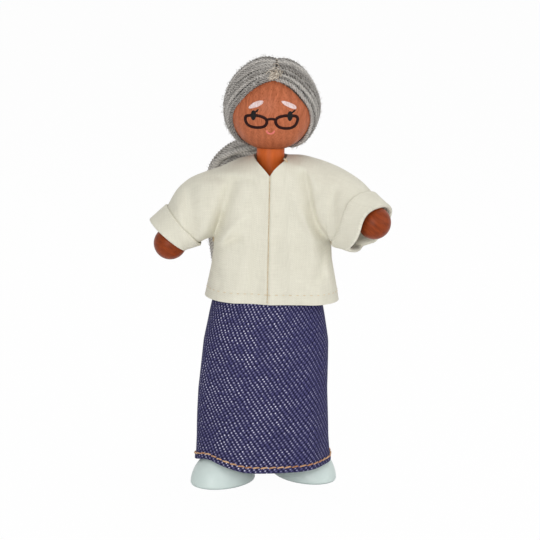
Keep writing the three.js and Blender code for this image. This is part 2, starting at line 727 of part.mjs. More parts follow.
function skirt() {
  const count = 49;
  const rows = 10;
  const outer = [];
  const inner = [];
  for (let k = 0; k <= rows; k += 1) {
    const size = skirtStation(k / rows);
    const fall = Math.max(0, (size.z - 0.2) / 0.8);
    const outerRow = [];
    const innerRow = [];
    for (let i = 0; i < count; i += 1) {
      const angle = (2 * Math.PI * i) / count;
      const wave = skirtWave(angle, fall);
      const hemWidth = SKIRT_HEM_WIDTH / 2 + skirtWave(angle, 1);
      const hemDepth = SKIRT_HEM_DEPTH / 2 + skirtWave(angle, 1);
      const [hemX, hemY] = ovalPoint(angle, hemWidth, hemDepth, SKIRT_SQUARENESS);
      const height = skirtTop + (hemHeight(hemX, hemY, angle) - skirtTop) * size.z;
      const [x, y] = ovalPoint(angle, size.x + wave, size.y + wave, SKIRT_SQUARENESS);
      const inward = wave - SKIRT_CLOTH;
      const [u, v] = ovalPoint(angle, size.x + inward, size.y + inward, SKIRT_SQUARENESS);
      outerRow.push(vector(x, y, height));
      innerRow.push(vector(u, v, height));
    }
    outer.push(outerRow);
    inner.push(innerRow);
  }
  return wall(outer, inner, true);
}

addPiece('skirt', skirt(), DENIM);

// Blouse: a loose body with wide sleeves cut in one with it, sewn at the sides and down the front
const blouseStation = smoothStations([
  [BLOUSE_HEM_WIDTH / 2, BLOUSE_DEPTH / 2, 0],
  [BLOUSE_HEM_WIDTH / 2 - 1, BLOUSE_DEPTH / 2 - 0.1, 0.22],
  [BLOUSE_CHEST_WIDTH / 2, BLOUSE_DEPTH / 2 - 0.3, 0.43],
  [BLOUSE_CHEST_WIDTH / 2 - 0.8, BLOUSE_DEPTH / 2 - 0.6, 0.61],
  [BLOUSE_CHEST_WIDTH / 2 - 1.9, BLOUSE_DEPTH / 2 - 1.1, 0.745],
  [BLOUSE_CHEST_WIDTH / 2 - 4.2, BLOUSE_DEPTH / 2 - 2.1, 0.86],
  [BLOUSE_CHEST_WIDTH / 2 - 8, BLOUSE_DEPTH / 2 - 3.7, 0.94],
  [NECK_DIAMETER / 2 + NECKLINE_EASE + 1.3, NECK_DIAMETER / 2 + NECKLINE_EASE + 1.1, 1],
]);

function blouseBody(shrink) {
  const rings = [];
  const rows = 12;
  for (let k = 0; k <= rows; k += 1) {
    const size = blouseStation(k / rows);
    const ring = [];
    const fall = Math.max(0, 1 - size.z * 2);
    const squareness = BLOUSE_SQUARENESS - 0.6 * size.z ** 2;
    for (let i = 0; i < 28; i += 1) {
      const angle = (2 * Math.PI * i) / 28;
      const wave = 0.45 * fall * Math.cos(6 * angle + 0.5);
      const [x, y] = ovalPoint(angle, size.x + wave - shrink, size.y + wave - shrink, squareness);
      ring.push(vector(x, y, blouseHemHeight + size.z * BLOUSE_LENGTH - (k === rows ? shrink : 0)));
    }
    rings.push(ring);
  }
  if (shrink > 0) {
    rings.unshift(rings[0].map((point) => point.clone().setZ(blouseHemHeight - 1)));
  }
  return loft(rings);
}

// Sleeve sections from inside the body out to the edge of the cuff
const cuffHalfHeight = HAND_DIAMETER / 2 + CUFF_EASE_DOWN;
const cuffHalfDepth = HAND_DIAMETER / 2 + CUFF_EASE_ACROSS;

function sleeveSections(pose) {
  const arm = armPoints(pose);
  const rootTop = torsoTop + pose.rootTopAboveTorso;
  const halfWays = [[0, 0], [0, 0], [pose.upper[0] / 2, pose.upper[1] * 0.7], pose.fore, pose.fore];
  const edgeAlong = FOREARM_LENGTH - CUFF_EDGE_BEFORE_HAND;
  const centres = [
    vector(pose.side * 6, 0, rootTop - 11.4),
    arm.shoulder.clone().add(vector(pose.side * ARMHOLE_BEYOND_SHOULDER, 0, pose.rootLift)),
    arm.elbow.clone().add(vector(0, 0, 0.9)),
    arm.elbow.clone().addScaledVector(arm.foreWay, edgeAlong - CUFF_WIDTH),
    arm.elbow.clone().addScaledVector(arm.foreWay, edgeAlong),
  ];
  const lifts = [0, 0, 0, pose.cuffSeamLift, pose.cuffEdgeLift];
  const seamHeight = cuffHalfHeight + CUFF_TAPER;
  const seamDepth = cuffHalfDepth + CUFF_TAPER;
  const elbowHeight = pose.rootHeight / 4 + seamHeight / 2 + 0.5;
  const heights = [11.4, pose.rootHeight / 2, elbowHeight, seamHeight, cuffHalfHeight];
  const rootDepth = SLEEVE_ROOT_DEPTH / 2;
  const depths = [rootDepth - 1.1, rootDepth, rootDepth - 0.5, seamDepth, cuffHalfDepth];
  return centres.map((centre, k) => {
    const way = armDirection(pose.side, halfWays[k]);
    const up = vector(0, 0, 1).addScaledVector(way, -way.z).normalize();
    const deep = way.clone().cross(up).normalize();
    centre.addScaledVector(up, lifts[k]);
    return { centre, way, up, deep, height: heights[k], depth: depths[k] };
  });
}

function sleeveLoft(pose, shrink, run) {
  const sections = sleeveSections(pose).slice(0, 4);
  const centreAt = new THREE.CatmullRomCurve3(sections.map((s) => s.centre), false, 'centripetal');
  const upAt = new THREE.CatmullRomCurve3(sections.map((s) => s.up), false, 'centripetal');
  const deepAt = new THREE.CatmullRomCurve3(sections.map((s) => s.deep), false, 'centripetal');
  const sizeAt = smoothStations(sections.map((s, k) => [s.height, s.depth, k * 6]));
  const rings = [];
  const steps = 7;
  for (let k = 0; k <= steps; k += 1) {
    const share = k / steps;
    const size = sizeAt(share);
    rings.push(ovalRing(
      centreAt.getPoint(share),
      upAt.getPoint(share).normalize().multiplyScalar(size.x - shrink),
      deepAt.getPoint(share).normalize().multiplyScalar(size.y - shrink),
      20,
      2.2,
    ));
  }
  if (run > 0) {
    const last = rings[rings.length - 1];
    rings.push(last.map((point) => point.clone().addScaledVector(sections[3].way, run)));
  }
  return loft(rings);
}

function cuff(pose) {
  const [from, to] = sleeveSections(pose).slice(3);
  const rows = (outside) => [0, 0.12, 0.5, 1].map((share) => {
    const start = from.centre.clone().addScaledVector(from.way, CLEARANCE);
    const centre = start.lerp(to.centre, share);
    const grow = outside ? CUFF_FOLD * (share === 0 ? 0.3 : 1) : -BLOUSE_CLOTH;
    const height = THREE.MathUtils.lerp(from.height, to.height, share) + grow;
    const depth = THREE.MathUtils.lerp(from.depth, to.depth, share) + grow;
    const up = from.up.clone().multiplyScalar(height);
    return ovalRing(centre, up, from.deep.clone().multiplyScalar(depth), 20, 2.2);
  });
  return wall(rows(true), rows(false), true);
}

// A flat outline seen from the front, given as [x, z] points and run from one y to another
function prism(points, fromY, toY) {
  const shape = new THREE.Shape(points.map(([x, z]) => new THREE.Vector2(x, z)));
  const geometry = new THREE.ExtrudeGeometry(shape, { depth: toY - fromY, bevelEnabled: false });
  geometry.rotateX(Math.PI / 2);
  geometry.translate(0, toY, 0);
  return toSolid(geometry);
}

function boxSolid(low, high) {
  const size = high.clone().sub(low);
  const geometry = new THREE.BoxGeometry(...size.toArray());
  geometry.translate(...low.clone().add(high).divideScalar(2).toArray());
  return toSolid(geometry);
}

// The space beyond a sleeve's armhole, drawn in by the given margin
function beyondArmhole(pose, margin) {
  const armholeX = SHOULDER_SPACING / 2 + ARMHOLE_BEYOND_SHOULDER + margin;
  const [, root] = sleeveSections(pose);
  const armpit = root.centre.z - root.height;
  const far = SHOULDER_SPACING * 2;
  const outline = [
    [armholeX, collarHeight + far],
    [armholeX, armpit + 0.8],
    [armholeX + 1.3, armpit + margin * 0.5 - 0.2],
    [far, armpit - (far - armholeX) * UNDERARM_SLOPE],
    [far, collarHeight + far],
  ];
  return prism(outline.map(([x, z]) => [pose.side * x, z]), -BLOUSE_DEPTH * 2, BLOUSE_DEPTH * 2);
}

function addBlouse() {
  const { right, left } = ARM_POSE;
  const outside = toSolid(blouseBody(0))
    .add(toSolid(sleeveLoft(right, 0, 0)))
    .add(toSolid(sleeveLoft(left, 0, 0)));
  const inside = toSolid(blouseBody(BLOUSE_CLOTH))
    .add(toSolid(sleeveLoft(right, BLOUSE_CLOTH, 2)))
    .add(toSolid(sleeveLoft(left, BLOUSE_CLOTH, 2)));
  const holeRadius = NECK_DIAMETER / 2 + NECKLINE_EASE;
  const above = collarHeight + NECKLINE_DROP;
  const neckHole = toSolid(cylinderBetween(vector(0, 0, torsoTop), vector(0, 0, above), holeRadius, 32));
  const vee = prism([
    [-holeRadius, above],
    [-holeRadius + 0.3, collarHeight - 0.4],
    [0, collarHeight - NECKLINE_DROP],
    [holeRadius - 0.3, collarHeight - 0.4],
    [holeRadius, above],
  ], -BLOUSE_DEPTH, 0);
  const cloth = outside.subtract(inside).subtract(neckHole).subtract(vee);
  addPiece('right_sleeve', toGeometry(cloth.intersect(beyondArmhole(right, CLEARANCE / 2))), CREAM_COTTON);
  addPiece('left_sleeve', toGeometry(cloth.intersect(beyondArmhole(left, CLEARANCE / 2))), CREAM_COTTON);
  const seam = CLEARANCE / 2;
  const body = cloth.subtract(beyondArmhole(right, -seam)).subtract(beyondArmhole(left, -seam));
  const reach = BLOUSE_HEM_WIDTH;
  const low = blouseHemHeight - NECKLINE_DROP;
  const high = above;
  const frontRight = boxSolid(vector(-reach, -reach, low), vector(-seam, -seam, high));
  const frontLeft = boxSolid(vector(seam, -reach, low), vector(reach, -seam, high));
  const back = boxSolid(vector(-reach, seam, low), vector(reach, reach, high));
  addPiece('blouse_front_right', toGeometry(body.intersect(frontRight)), CREAM_COTTON);
  addPiece('blouse_front_left', toGeometry(body.intersect(frontLeft)), CREAM_COTTON);
  addPiece('blouse_back', toGeometry(body.intersect(back)), CREAM_COTTON);
}

addBlouse();
addPiece('right_cuff', cuff(ARM_POSE.right), CREAM_COTTON);
addPiece('left_cuff', cuff(ARM_POSE.left), CREAM_COTTON);

// The origin lies on the floor, under the middle of the whole doll
doll.updateMatrixWorld(true);
const box = new THREE.Box3().setFromObject(doll, true);
const middle = box.getCenter(vector(0, 0, 0));
doll.position.set(-middle.x, -middle.y, -box.min.z);

export default doll;
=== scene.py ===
import math
import random

import bmesh
import bpy
import numpy as np
from mathutils import Matrix, Quaternion, Vector


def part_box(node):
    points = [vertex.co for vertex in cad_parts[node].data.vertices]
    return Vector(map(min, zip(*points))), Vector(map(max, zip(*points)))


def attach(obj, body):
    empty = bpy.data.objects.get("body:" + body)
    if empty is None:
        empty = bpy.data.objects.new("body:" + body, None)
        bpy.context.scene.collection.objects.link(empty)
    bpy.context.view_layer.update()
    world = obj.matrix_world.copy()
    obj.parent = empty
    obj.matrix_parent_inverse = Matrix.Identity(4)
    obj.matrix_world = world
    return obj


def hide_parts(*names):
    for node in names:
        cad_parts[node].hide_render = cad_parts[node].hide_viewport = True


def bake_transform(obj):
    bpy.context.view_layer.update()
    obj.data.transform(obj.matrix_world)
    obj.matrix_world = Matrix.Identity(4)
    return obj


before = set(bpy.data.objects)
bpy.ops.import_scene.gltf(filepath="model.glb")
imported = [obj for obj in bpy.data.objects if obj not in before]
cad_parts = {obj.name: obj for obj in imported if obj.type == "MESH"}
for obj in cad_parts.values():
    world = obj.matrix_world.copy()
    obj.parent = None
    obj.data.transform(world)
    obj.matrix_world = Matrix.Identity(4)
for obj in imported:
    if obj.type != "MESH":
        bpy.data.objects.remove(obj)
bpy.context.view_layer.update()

# The studio: a wide pale floor and three large soft lamps, with the camera a little above the doll's
# head and looking down at it. The picture is turned a touch clockwise, as a hand-held one is.
head_low, head_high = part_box("head_ball")
DOLL_FOOT = ((head_low.x + head_high.x) * 500, (head_low.y + head_high.y) * 500, 0)
CAMERA_PLACE, LAMPS_POINT_AT = (0, -600, 172), (0, 0, 75)
CAMERA_DOWN, CAMERA_ROLL = math.radians(10), math.radians(1.2)
SENSOR_WIDTH, FRAME_PIXELS, FOCUS_PIXELS = 36, 540, 2005
FRAMING_PIXELS = (1.8, -3.4)
SKY_LIGHT, FLOOR_GLOW = 0.32, 0.975
scene = bpy.context.scene
scene.view_settings.view_transform = "Standard"


def metres(points):
    """Points of the doll, in millimetres from the middle of its neck on the floor, as the frame has them."""
    return (np.asarray(points, float).reshape(-1, 3) + DOLL_FOOT) / 1000


def set_down(name, data):
    """Puts a mesh, a curve, a lamp or the camera in the scene."""
    thing = bpy.data.objects.new(name, data)
    scene.collection.objects.link(thing)
    return thing


class Field:
    """What a node puts out. Fields add, subtract, multiply and divide as numbers do, with a node for each."""

    def __init__(self, socket):
        self.socket, self.tree = socket, socket.id_data

    def __getitem__(self, output):
        return Field(self.socket.node.outputs[output])

    def done(self, operation, *others):
        return add_node(self.tree, "ShaderNodeMath", dict(enumerate((self, *others))), operation=operation)

    def vector(self, operation, other=(0, 0, 0)):
        key = "Scale" if operation == "SCALE" else 1
        return add_node(self.tree, "ShaderNodeVectorMath", {0: self, key: other}, operation=operation)

    def __add__(self, other):
        return self.done("ADD", other)

    def __sub__(self, other):
        return self.done("SUBTRACT", other)

    def __rsub__(self, other):
        return self.done("MULTIPLY", -1.0) + other

    def __mul__(self, other):
        return self.done("MULTIPLY", other)

    def __truediv__(self, other):
        return self.done("DIVIDE", other)


def fill(node, inputs):
    """Gives a node's inputs their values, or leads fields to them."""
    for key, value in inputs.items():
        if isinstance(value, Field):
            node.id_data.links.new(value.socket, node.inputs[key])
        else:
            node.inputs[key].default_value = value


def add_node(tree, kind, inputs={}, **settings):
    """Adds a node with its settings and inputs, and gives back the field of its first output."""
    node = tree.nodes.new(kind)
    for key, value in settings.items():
        setattr(node, key, value)
    fill(node, inputs)
    return Field(node.outputs[0]) if len(node.outputs) else None


def new_material(name, **sockets):
    """A material and its shader, with the plain values of the shader's own sockets."""
    material = bpy.data.materials.new(name)
    material.use_nodes = True
    shader = material.node_tree.nodes["Principled BSDF"]
    fill(shader, {key.replace("_", " "): value for key, value in sockets.items()})
    return material, shader


def seen(tree, *kinds):
    """1 for a ray that sees the surface, from the camera or of these kinds, and 0 for one that lights it."""
    rays = add_node(tree, "ShaderNodeLightPath")
    sight = rays["Is Camera Ray"]
    for kind in kinds:
        sight = sight.done("MAXIMUM", rays[kind])
    return sight


camera_data = bpy.data.cameras.new("portrait_camera")
camera_data.sensor_width = SENSOR_WIDTH
camera_data.lens = FOCUS_PIXELS * SENSOR_WIDTH / FRAME_PIXELS
camera_data.shift_x, camera_data.shift_y = (pixels / FRAME_PIXELS for pixels in FRAMING_PIXELS)
camera_data.clip_start, camera_data.clip_end = 0.05, 50
lights = [("portrait_camera", camera_data, CAMERA_PLACE)]
for name, place, width, power in (
    ("key_softbox", (-180, -880, 260), 0.5, 3.85),
    ("fill_softbox", (680, -380, 330), 0.7, 1.9),
    ("back_softbox", (60, 260, 800), 0.7, 2.7),
):
    lamp_data = bpy.data.lights.new(name, "AREA")
    lamp_data.size, lamp_data.energy = width, power
    lights.append((name, lamp_data, place))
for name, data, place in lights:
    thing = set_down(name, data)
    thing.location = metres(place)[0]
    thing.rotation_mode = "QUATERNION"
    if data == camera_data:
        turn = Quaternion((1, 0, 0), math.pi / 2 - CAMERA_DOWN) @ Quaternion((0, 0, 1), CAMERA_ROLL)
        scene.camera = thing
    else:
        turn = (Vector(metres(LAMPS_POINT_AT)[0]) - thing.location).to_track_quat("-Z", "Y")
    thing.rotation_quaternion = turn

studio = bpy.data.worlds.new("studio")
scene.world = studio
studio.use_nodes = True
sky = studio.node_tree
sky.nodes.clear()
sight = seen(sky, "Is Glossy Ray", "Is Transmission Ray")
strength = add_node(sky, "ShaderNodeMapRange", {"Value": sight, "To Min": SKY_LIGHT, "To Max": 1.0})
light = add_node(sky, "ShaderNodeBackground", {"Color": (1, 1, 1, 1), "Strength": strength})
add_node(sky, "ShaderNodeOutputWorld", {"Surface": light})

floor_mesh = bpy.data.meshes.new("floor")
floor_mesh.from_pydata([(-12, -12, 0), (12, -12, 0), (12, 12, 0), (-12, 12, 0)], [], [(0, 1, 2, 3)])
floor = set_down("floor", floor_mesh)
floor_white, shader = new_material(
    "floor_white", Roughness=0.9, Specular_IOR_Level=0.1, Base_Color=(0.95, 0.95, 0.95, 1)
)
tree = shader.id_data
glow = add_node(tree, "ShaderNodeEmission", {"Strength": 1.0})
glows = seen(tree, "Is Glossy Ray") * FLOOR_GLOW
join = add_node(tree, "ShaderNodeMixShader", {0: glows, 1: Field(shader.outputs[0]), 2: glow})
fill(tree.nodes["Material Output"], {"Surface": join})
floor_mesh.materials.append(floor_white)

# The wooden parts of the body: the torso is turned from pale beech and then flattened, and stays raw
# under the clothes. Head, neck and hands are turned from the same wood, stained brown and lacquered.
# The grain runs up and down in each, so the lathe marks run round it.
PATTERN = {"Color": "Color", "Roughness": "Float", "Height": "Float"}
HEAD_RADIUS = (head_high.x - head_low.x) * 500
HEAD_CENTRE = Vector((0, 0, head_high.z * 1000 - HEAD_RADIUS))


def tone(red, green, blue):
    """A colour as it looks on a screen, 0 to 255, turned into the linear one that a shader takes."""
    linear = [c / 255 / 12.92 if c <= 10 else ((c / 255 + 0.055) / 1.055) ** 2.4 for c in (red, green, blue)]
    return (*linear, 1.0)


def ramp(share, *stops):
    """A share turned into a colour or a value by two stops, each a place and a grey or a colour."""
    field = add_node(share.tree, "ShaderNodeValToRGB", {"Fac": share})
    for step, (place, value) in zip(field.socket.node.color_ramp.elements, stops):
        step.position = place
        step.color = value if isinstance(value, tuple) else (value, value, value, 1)
    return field


def mix(share, first, second):
    """One colour laid over another by a share."""
    return add_node(share.tree, "ShaderNodeMix", {0: share, 6: first, 7: second}, data_type="RGBA")[2]


def noise(place, scale, detail, rough=0.5, bend=0.0):
    return add_node(place.tree, "ShaderNodeTexNoise", {
        "Vector": place, "Scale": scale, "Detail": detail, "Roughness": rough, "Distortion": bend})


def wave(place, scale, bend, direction, detail_scale=1.0):
    return add_node(place.tree, "ShaderNodeTexWave", {
        "Vector": place, "Scale": scale, "Distortion": bend, "Detail": 2.0, "Detail Scale": detail_scale,
    }, bands_direction=direction)["Fac"]


def stretched(place, scale):
    return add_node(place.tree, "ShaderNodeMapping", {"Vector": place, "Scale": scale})


def bump(height, strength, depth):
    """Relief from a height, at most so many millimetres deep."""
    return add_node(height.tree, "ShaderNodeBump", {
        "Strength": strength, "Distance": depth / 1000, "Height": height})


def millimetres(tree, turn=(0, 0, 0), shift=(0, 0, 0)):
    """The place on the doll in millimetres, turned or shifted so that a pattern lies along the piece."""
    place = add_node(tree, "ShaderNodeTexCoord")["Object"]
    return add_node(tree, "ShaderNodeMapping", {
        "Vector": place, "Scale": (1000, 1000, 1000), "Rotation": turn, "Location": shift})


def new_group(name, kind, takes, gives):
    """A node group; a socket is given by its kind, or by the number that it starts at."""
    tree = bpy.data.node_groups.new(name, kind + "NodeTree")
    for sockets, way in ((takes, "INPUT"), (gives, "OUTPUT")):
        for key, start in sockets.items():
            word = start if isinstance(start, str) else "Int" if isinstance(start, int) else "Float"
            socket = tree.interface.new_socket(key, in_out=way, socket_type="NodeSocket" + word)
            if start != word:
                socket.default_value = start
    return tree, add_node(tree, "NodeGroupInput")


def patterned(name, group, laid, values, relief, **sockets):
    """A material whose colour, roughness and relief come from a group that is laid over the surface."""
    material, shader = new_material(name, **sockets)
    inputs = {key: tone(*value) if isinstance(value, tuple) else value for key, value in values.items()}
    tree = shader.id_data
    pattern = add_node(tree, "ShaderNodeGroup", {**laid(tree), **inputs}, node_tree=group)
    fill(shader, {
        "Base Color": pattern, "Roughness": pattern["Roughness"], "Normal": bump(pattern["Height"], *relief)})
    return material


# Wood seen close up: long fibres, growth rings and short dark pores, all along Z.
WOOD_GRAIN, given = new_group("wood_grain", "Shader", {
    "Place": "Vector", "Light": "Color", "Dark": "Color", "Figure": 1.0, "Pores": 0.5}, PATTERN)
sway = noise(given["Place"], 0.09, 1.0)["Color"].vector("MULTIPLY", (5.0, 5.0, 0.0))
long_way = stretched(given["Place"].vector("ADD", sway), (1.0, 1.0, 0.07))
streak = ramp(noise(long_way, 2.1, 6.0, 0.7), (0.34, 0.0), (0.68, 1.0)) * 0.62
figure = (streak + wave(long_way, 0.16, 2.4, "X", 1.2) * 0.2) * given["Figure"]
pores = ramp(noise(long_way, 6.5, 2.0), (0.58, 0.0), (0.68, 1.0)) * given["Pores"]
add_node(WOOD_GRAIN, "NodeGroupOutput", {
    "Color": mix(pores, mix(figure, given["Light"], given["Dark"]), given["Dark"]),
    "Roughness": figure * 0.12 + 0.36, "Height": streak * 0.5 - pores})


def wood_finish(name, light, dark, figure, pores, gloss, turn=(0, 0, 0), shift=(0, 0, 0)):
    return patterned(
        name, WOOD_GRAIN, lambda tree: {"Place": millimetres(tree, turn, shift)},
        {"Light": light, "Dark": dark, "Figure": figure, "Pores": pores}, (0.22, 0.05),
        Specular_IOR_Level=0.12, Coat_Roughness=0.4, Coat_Weight=gloss)


HEAD_STAIN = wood_finish("head_stain", (200, 117, 80), (122, 57, 32), 0.78, 0.9, 0.04)
NECK_STAIN = wood_finish("neck_stain", (212, 105, 46), (168, 71, 26), 0.5, 0.35, 0.03, shift=(40, 12, 0))
HAND_STAIN = wood_finish("hand_stain", (154, 68, 28), (80, 30, 12), 0.8, 0.4, 0.06, turn=(0, 0.9, 0))
RAW_BEECH = wood_finish("raw_beech", (214, 184, 142), (186, 148, 104), 0.8, 0.5, 0.0, shift=(17, 60, 0))


def fit(piece, body=None, replaces=()):
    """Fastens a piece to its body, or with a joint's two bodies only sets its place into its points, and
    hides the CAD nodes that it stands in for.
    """
    if isinstance(body, tuple):
        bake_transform(piece)
    elif body:
        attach(piece, body)
    if replaces:
        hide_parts(*replaces)
    return piece


def solid_piece(name, points, faces, material, body=None, replaces=()):
    """A mesh from points in millimetres, with its doubles merged and its faces turned outwards."""
    mesh = bpy.data.meshes.new(name)
    mesh.from_pydata([tuple(p) for p in metres(points)], [], faces)
    made = bmesh.new()
    made.from_mesh(mesh)
    bmesh.ops.remove_doubles(made, verts=made.verts, dist=1e-7)
    bmesh.ops.recalc_face_normals(made, faces=made.faces)
    made.to_mesh(mesh)
    made.free()
    mesh.shade_smooth()
    mesh.materials.append(material)
    return fit(set_down(name, mesh), body, replaces)


def ring_faces(rows, count, closed=True):
    """Quads between rows of points that lie one after another, each row closed on itself or open."""
    return [(a + i, a + (i + 1) % count, a + count + (i + 1) % count, a + count + i)
            for a in range(0, (rows - 1) * count, count) for i in range(count if closed else count - 1)]


def round_angles(count):
    return [2 * math.pi * i / count for i in range(count)]


def turned(name, profile, centre, way, material, body, node, count):
    """A piece off the lathe: a profile of (radius, distance along the axis), spun about an axis."""
    turn = Vector((0, 0, 1)).rotation_difference(Vector(way).normalized()).to_matrix()
    points = [Vector(centre) + turn @ Vector((radius * math.cos(angle), radius * math.sin(angle), along))
              for radius, along in profile for angle in round_angles(count)]
    return solid_piece(name, points, ring_faces(len(profile), count), material, body, [node])


def ball_profile(radius, bore, depth, chamfer=0.25, steps=44):
    """A ball with a blind bore that enters from below, its edge softened with sandpaper."""
    foot = math.asin(min(1, (bore + chamfer) / radius))
    sweep = [(radius * math.sin(a), radius * math.cos(a)) for a in np.linspace(0, math.pi - foot, steps)]
    mouth = -math.sqrt(radius ** 2 - (bore + chamfer) ** 2)
    inside = [(bore + chamfer * 0.3, mouth + chamfer * 0.3), (bore, mouth + chamfer), (bore, mouth + depth)]
    return sweep + inside + [(0, mouth + depth)]


def box_mm(node):
    """A CAD node's two corners, in millimetres from the middle of the neck on the floor."""
    return [np.array(corner) * 1000 - DOLL_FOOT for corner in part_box(node)]


SIGNS = {"right": -1, "left": 1}
neck_low, neck_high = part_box("neck_peg")
NECK_RADIUS, NECK_CHAMFER = (neck_high.x - neck_low.x) * 500, 0.4
NECK_FOOT, NECK_TOP = neck_low.z * 1000, neck_high.z * 1000
SIDE_CLEARANCE, END_CLEARANCE, BORE_CHAMFER = 0.25, 0.3, 0.25
head_mouth = math.sqrt(HEAD_RADIUS ** 2 - (NECK_RADIUS + SIDE_CLEARANCE + BORE_CHAMFER) ** 2)
head_bore = NECK_TOP + END_CLEARANCE - HEAD_CENTRE.z + head_mouth
turned("head", ball_profile(HEAD_RADIUS, NECK_RADIUS + SIDE_CLEARANCE, head_bore), HEAD_CENTRE, (0, 0, 1),
       HEAD_STAIN, "head", "head_ball", 128)
neck_profile = [
    (0, NECK_FOOT), (NECK_RADIUS - NECK_CHAMFER, NECK_FOOT), (NECK_RADIUS, NECK_FOOT + NECK_CHAMFER),
    (NECK_RADIUS, NECK_FOOT + 6), (NECK_RADIUS - 0.03, NECK_FOOT + 8), (NECK_RADIUS, NECK_FOOT + 10),
    (NECK_RADIUS, NECK_TOP - NECK_CHAMFER), (NECK_RADIUS - NECK_CHAMFER, NECK_TOP), (0, NECK_TOP),
]
turned("neck_dowel", neck_profile, (0, 0, 0), (0, 0, 1), NECK_STAIN, "torso", "neck_peg", 72)
HAND_BORE, HAND_BORE_DEPTH = 2.3, 3.2
for side in SIGNS:
    low, high = box_mm(f"{side}_hand")
    hand = (low + high) / 2
    profile = ball_profile((high - low).max() / 2, HAND_BORE, HAND_BORE_DEPTH, 0.2, 30)
    turned(f"{side}_hand_bead", profile, hand, hand - sum(box_mm(f"{side}_forearm_wire")) / 2, HAND_STAIN,
           f"forearm_{side}", f"{side}_hand", 64)

# The shoes: two domed wooden shoes with a flat sole, painted pale blue-green. The paint is satin, and darker
# in a narrow band along the bottom of the sole, next to the floor.
SHOE_TOE_OUT = math.radians(30)
SHOE_HEIGHT = box_mm("right_shoe")[1][2]
SHOE_HALF_WIDTH, SHOE_HALF_LENGTH, SHOE_SIDES = 8.75, 12, 96
TOE_LONGER, SHOE_SQUARENESS = 0.06, 2.1  # the toe's half is longer by this share, and the heel's shorter
DOME = [  # the height above the floor, and the share of the full width there
    (0, 0.0), (0, 0.5), (0, 0.925), (0.08, 0.955), (0.22, 0.978), (0.34, 0.97), (0.42, 0.985), (0.6, 0.997)]
DOME += [(SHOE_HEIGHT * math.sin(a), math.cos(a) ** 0.8) for a in np.radians(np.linspace(6, 77, 26))]
ANKLE_BORE = [(-0.05, 2.75), (-0.15, 2.5), (-0.45, 2.35), (-3.9, 2.3), (-3.9, 0.0)]  # height, and radius


def separate(place):
    return add_node(place.tree, "ShaderNodeSeparateXYZ", {0: place})


SHOE_PAINT, shader = new_material("shoe_paint", Specular_IOR_Level=0.45, Coat_Weight=0.12, Coat_Roughness=0.3)
place = millimetres(shader.id_data)
speck = noise(place, 5.5, 4.0, 0.7)
shade = mix(noise(place, 0.35, 3.0), tone(202, 217, 213), tone(214, 226, 222))
# The paint is darker in the lowest millimetre of the shoe, along the floor.
sole_band_and_painted_side_light = ramp((separate(place)["Z"] + speck * 0.5) * 0.5, (0.2, 1.0), (0.42, 0.0)) * 0.7
fill(shader, {
    "Base Color": mix(sole_band_and_painted_side_light, shade, tone(142, 158, 156)), "Roughness": ramp(speck, (0.3, 0.42), (0.7, 0.56)),
    "Normal": bump(speck, 0.2, 0.06)})


def squared(c, s, power):
    """How far out a rounded square lies at an angle with this cosine and sine, for a circle's 1."""
    return (abs(c) ** power + abs(s) ** power) ** (-1 / power)


ANKLES = {}
for side, sign in SIGNS.items():
    ankle = ANKLES[side] = sum(box_mm(f"{side}_ankle_cord")) / 2
    points = []
    for height, share in DOME:
        for angle in round_angles(SHOE_SIDES):
            c, s = math.cos(angle), math.sin(angle)
            reach = squared(c, s, SHOE_SQUARENESS)
            long = SHOE_HALF_LENGTH * s * reach * (1 - TOE_LONGER * s) * share
            spot = Vector((SHOE_HALF_WIDTH * c * reach * share, long, height))
            points.append(Matrix.Rotation(sign * SHOE_TOE_OUT, 3, "Z") @ spot + Vector((*ankle[:2], 0)))
    for below, radius in ANKLE_BORE:
        for angle in round_angles(SHOE_SIDES):
            angle += sign * SHOE_TOE_OUT
            points.append((ankle[0] + radius * math.cos(angle), ankle[1] + radius * math.sin(angle),
                           SHOE_HEIGHT + below))
    faces = ring_faces(len(DOME) + len(ANKLE_BORE), SHOE_SIDES)
    solid_piece(f"{side}_painted_shoe", points, faces, SHOE_PAINT,
                f"foot_{side}", [f"{side}_shoe"])

# What holds the doll up under its clothes: a steel wire in each limb with a soft cotton cord over
# it, and the elastic that gathers the skirt. The cord is plied, so it has a rope's slanting lay.
COTTON_CORD, shader = new_material("cotton_cord", Roughness=0.9, Specular_IOR_Level=0.2, Sheen_Weight=0.2)
place = millimetres(shader.id_data)
lay = wave(place, 0.32, 1.2, "DIAGONAL") * noise(place, 4.0, 4.0)
fill(shader, {"Base Color": ramp(lay, (0.0, tone(196, 186, 166)), (0.5, tone(236, 230, 214))),
              "Normal": bump(lay, 0.6, 0.3)})
DRAWN_STEEL, shader = new_material("drawn_steel", Metallic=1.0)
scratch = noise(millimetres(shader.id_data), 6.0, 4.0)
fill(shader, {"Base Color": ramp(scratch, (0.3, tone(120, 120, 124)), (0.7, tone(176, 176, 178))),
              "Roughness": ramp(scratch, (0.3, 0.25), (0.7, 0.45))})
WHITE_ELASTIC, shader = new_material("white_elastic", Roughness=0.8, Specular_IOR_Level=0.25)
ribs = wave(millimetres(shader.id_data), 0.8, 0.3, "Z")
fill(shader, {"Base Color": ramp(ribs, (0.0, tone(206, 206, 200)), (0.6, tone(240, 240, 236))),
              "Normal": bump(ribs, 0.5, 0.2)})
CAD_FINISHES = {"cord": COTTON_CORD, "wire": DRAWN_STEEL, "elastic": WHITE_ELASTIC, "block": RAW_BEECH}
for name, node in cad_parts.items():
    finish = CAD_FINISHES.get(name.rsplit("_", 1)[-1])
    if finish:
        node.data.materials.clear()
        node.data.materials.append(finish)

# The face is printed on the ball with a pad, in four inks: white brows, black eyes with one lash each,
# dark brown glasses and a small pink smile. Each patch of ink lies a few hundredths proud of the wood.
INK_THICKNESS = 0.02


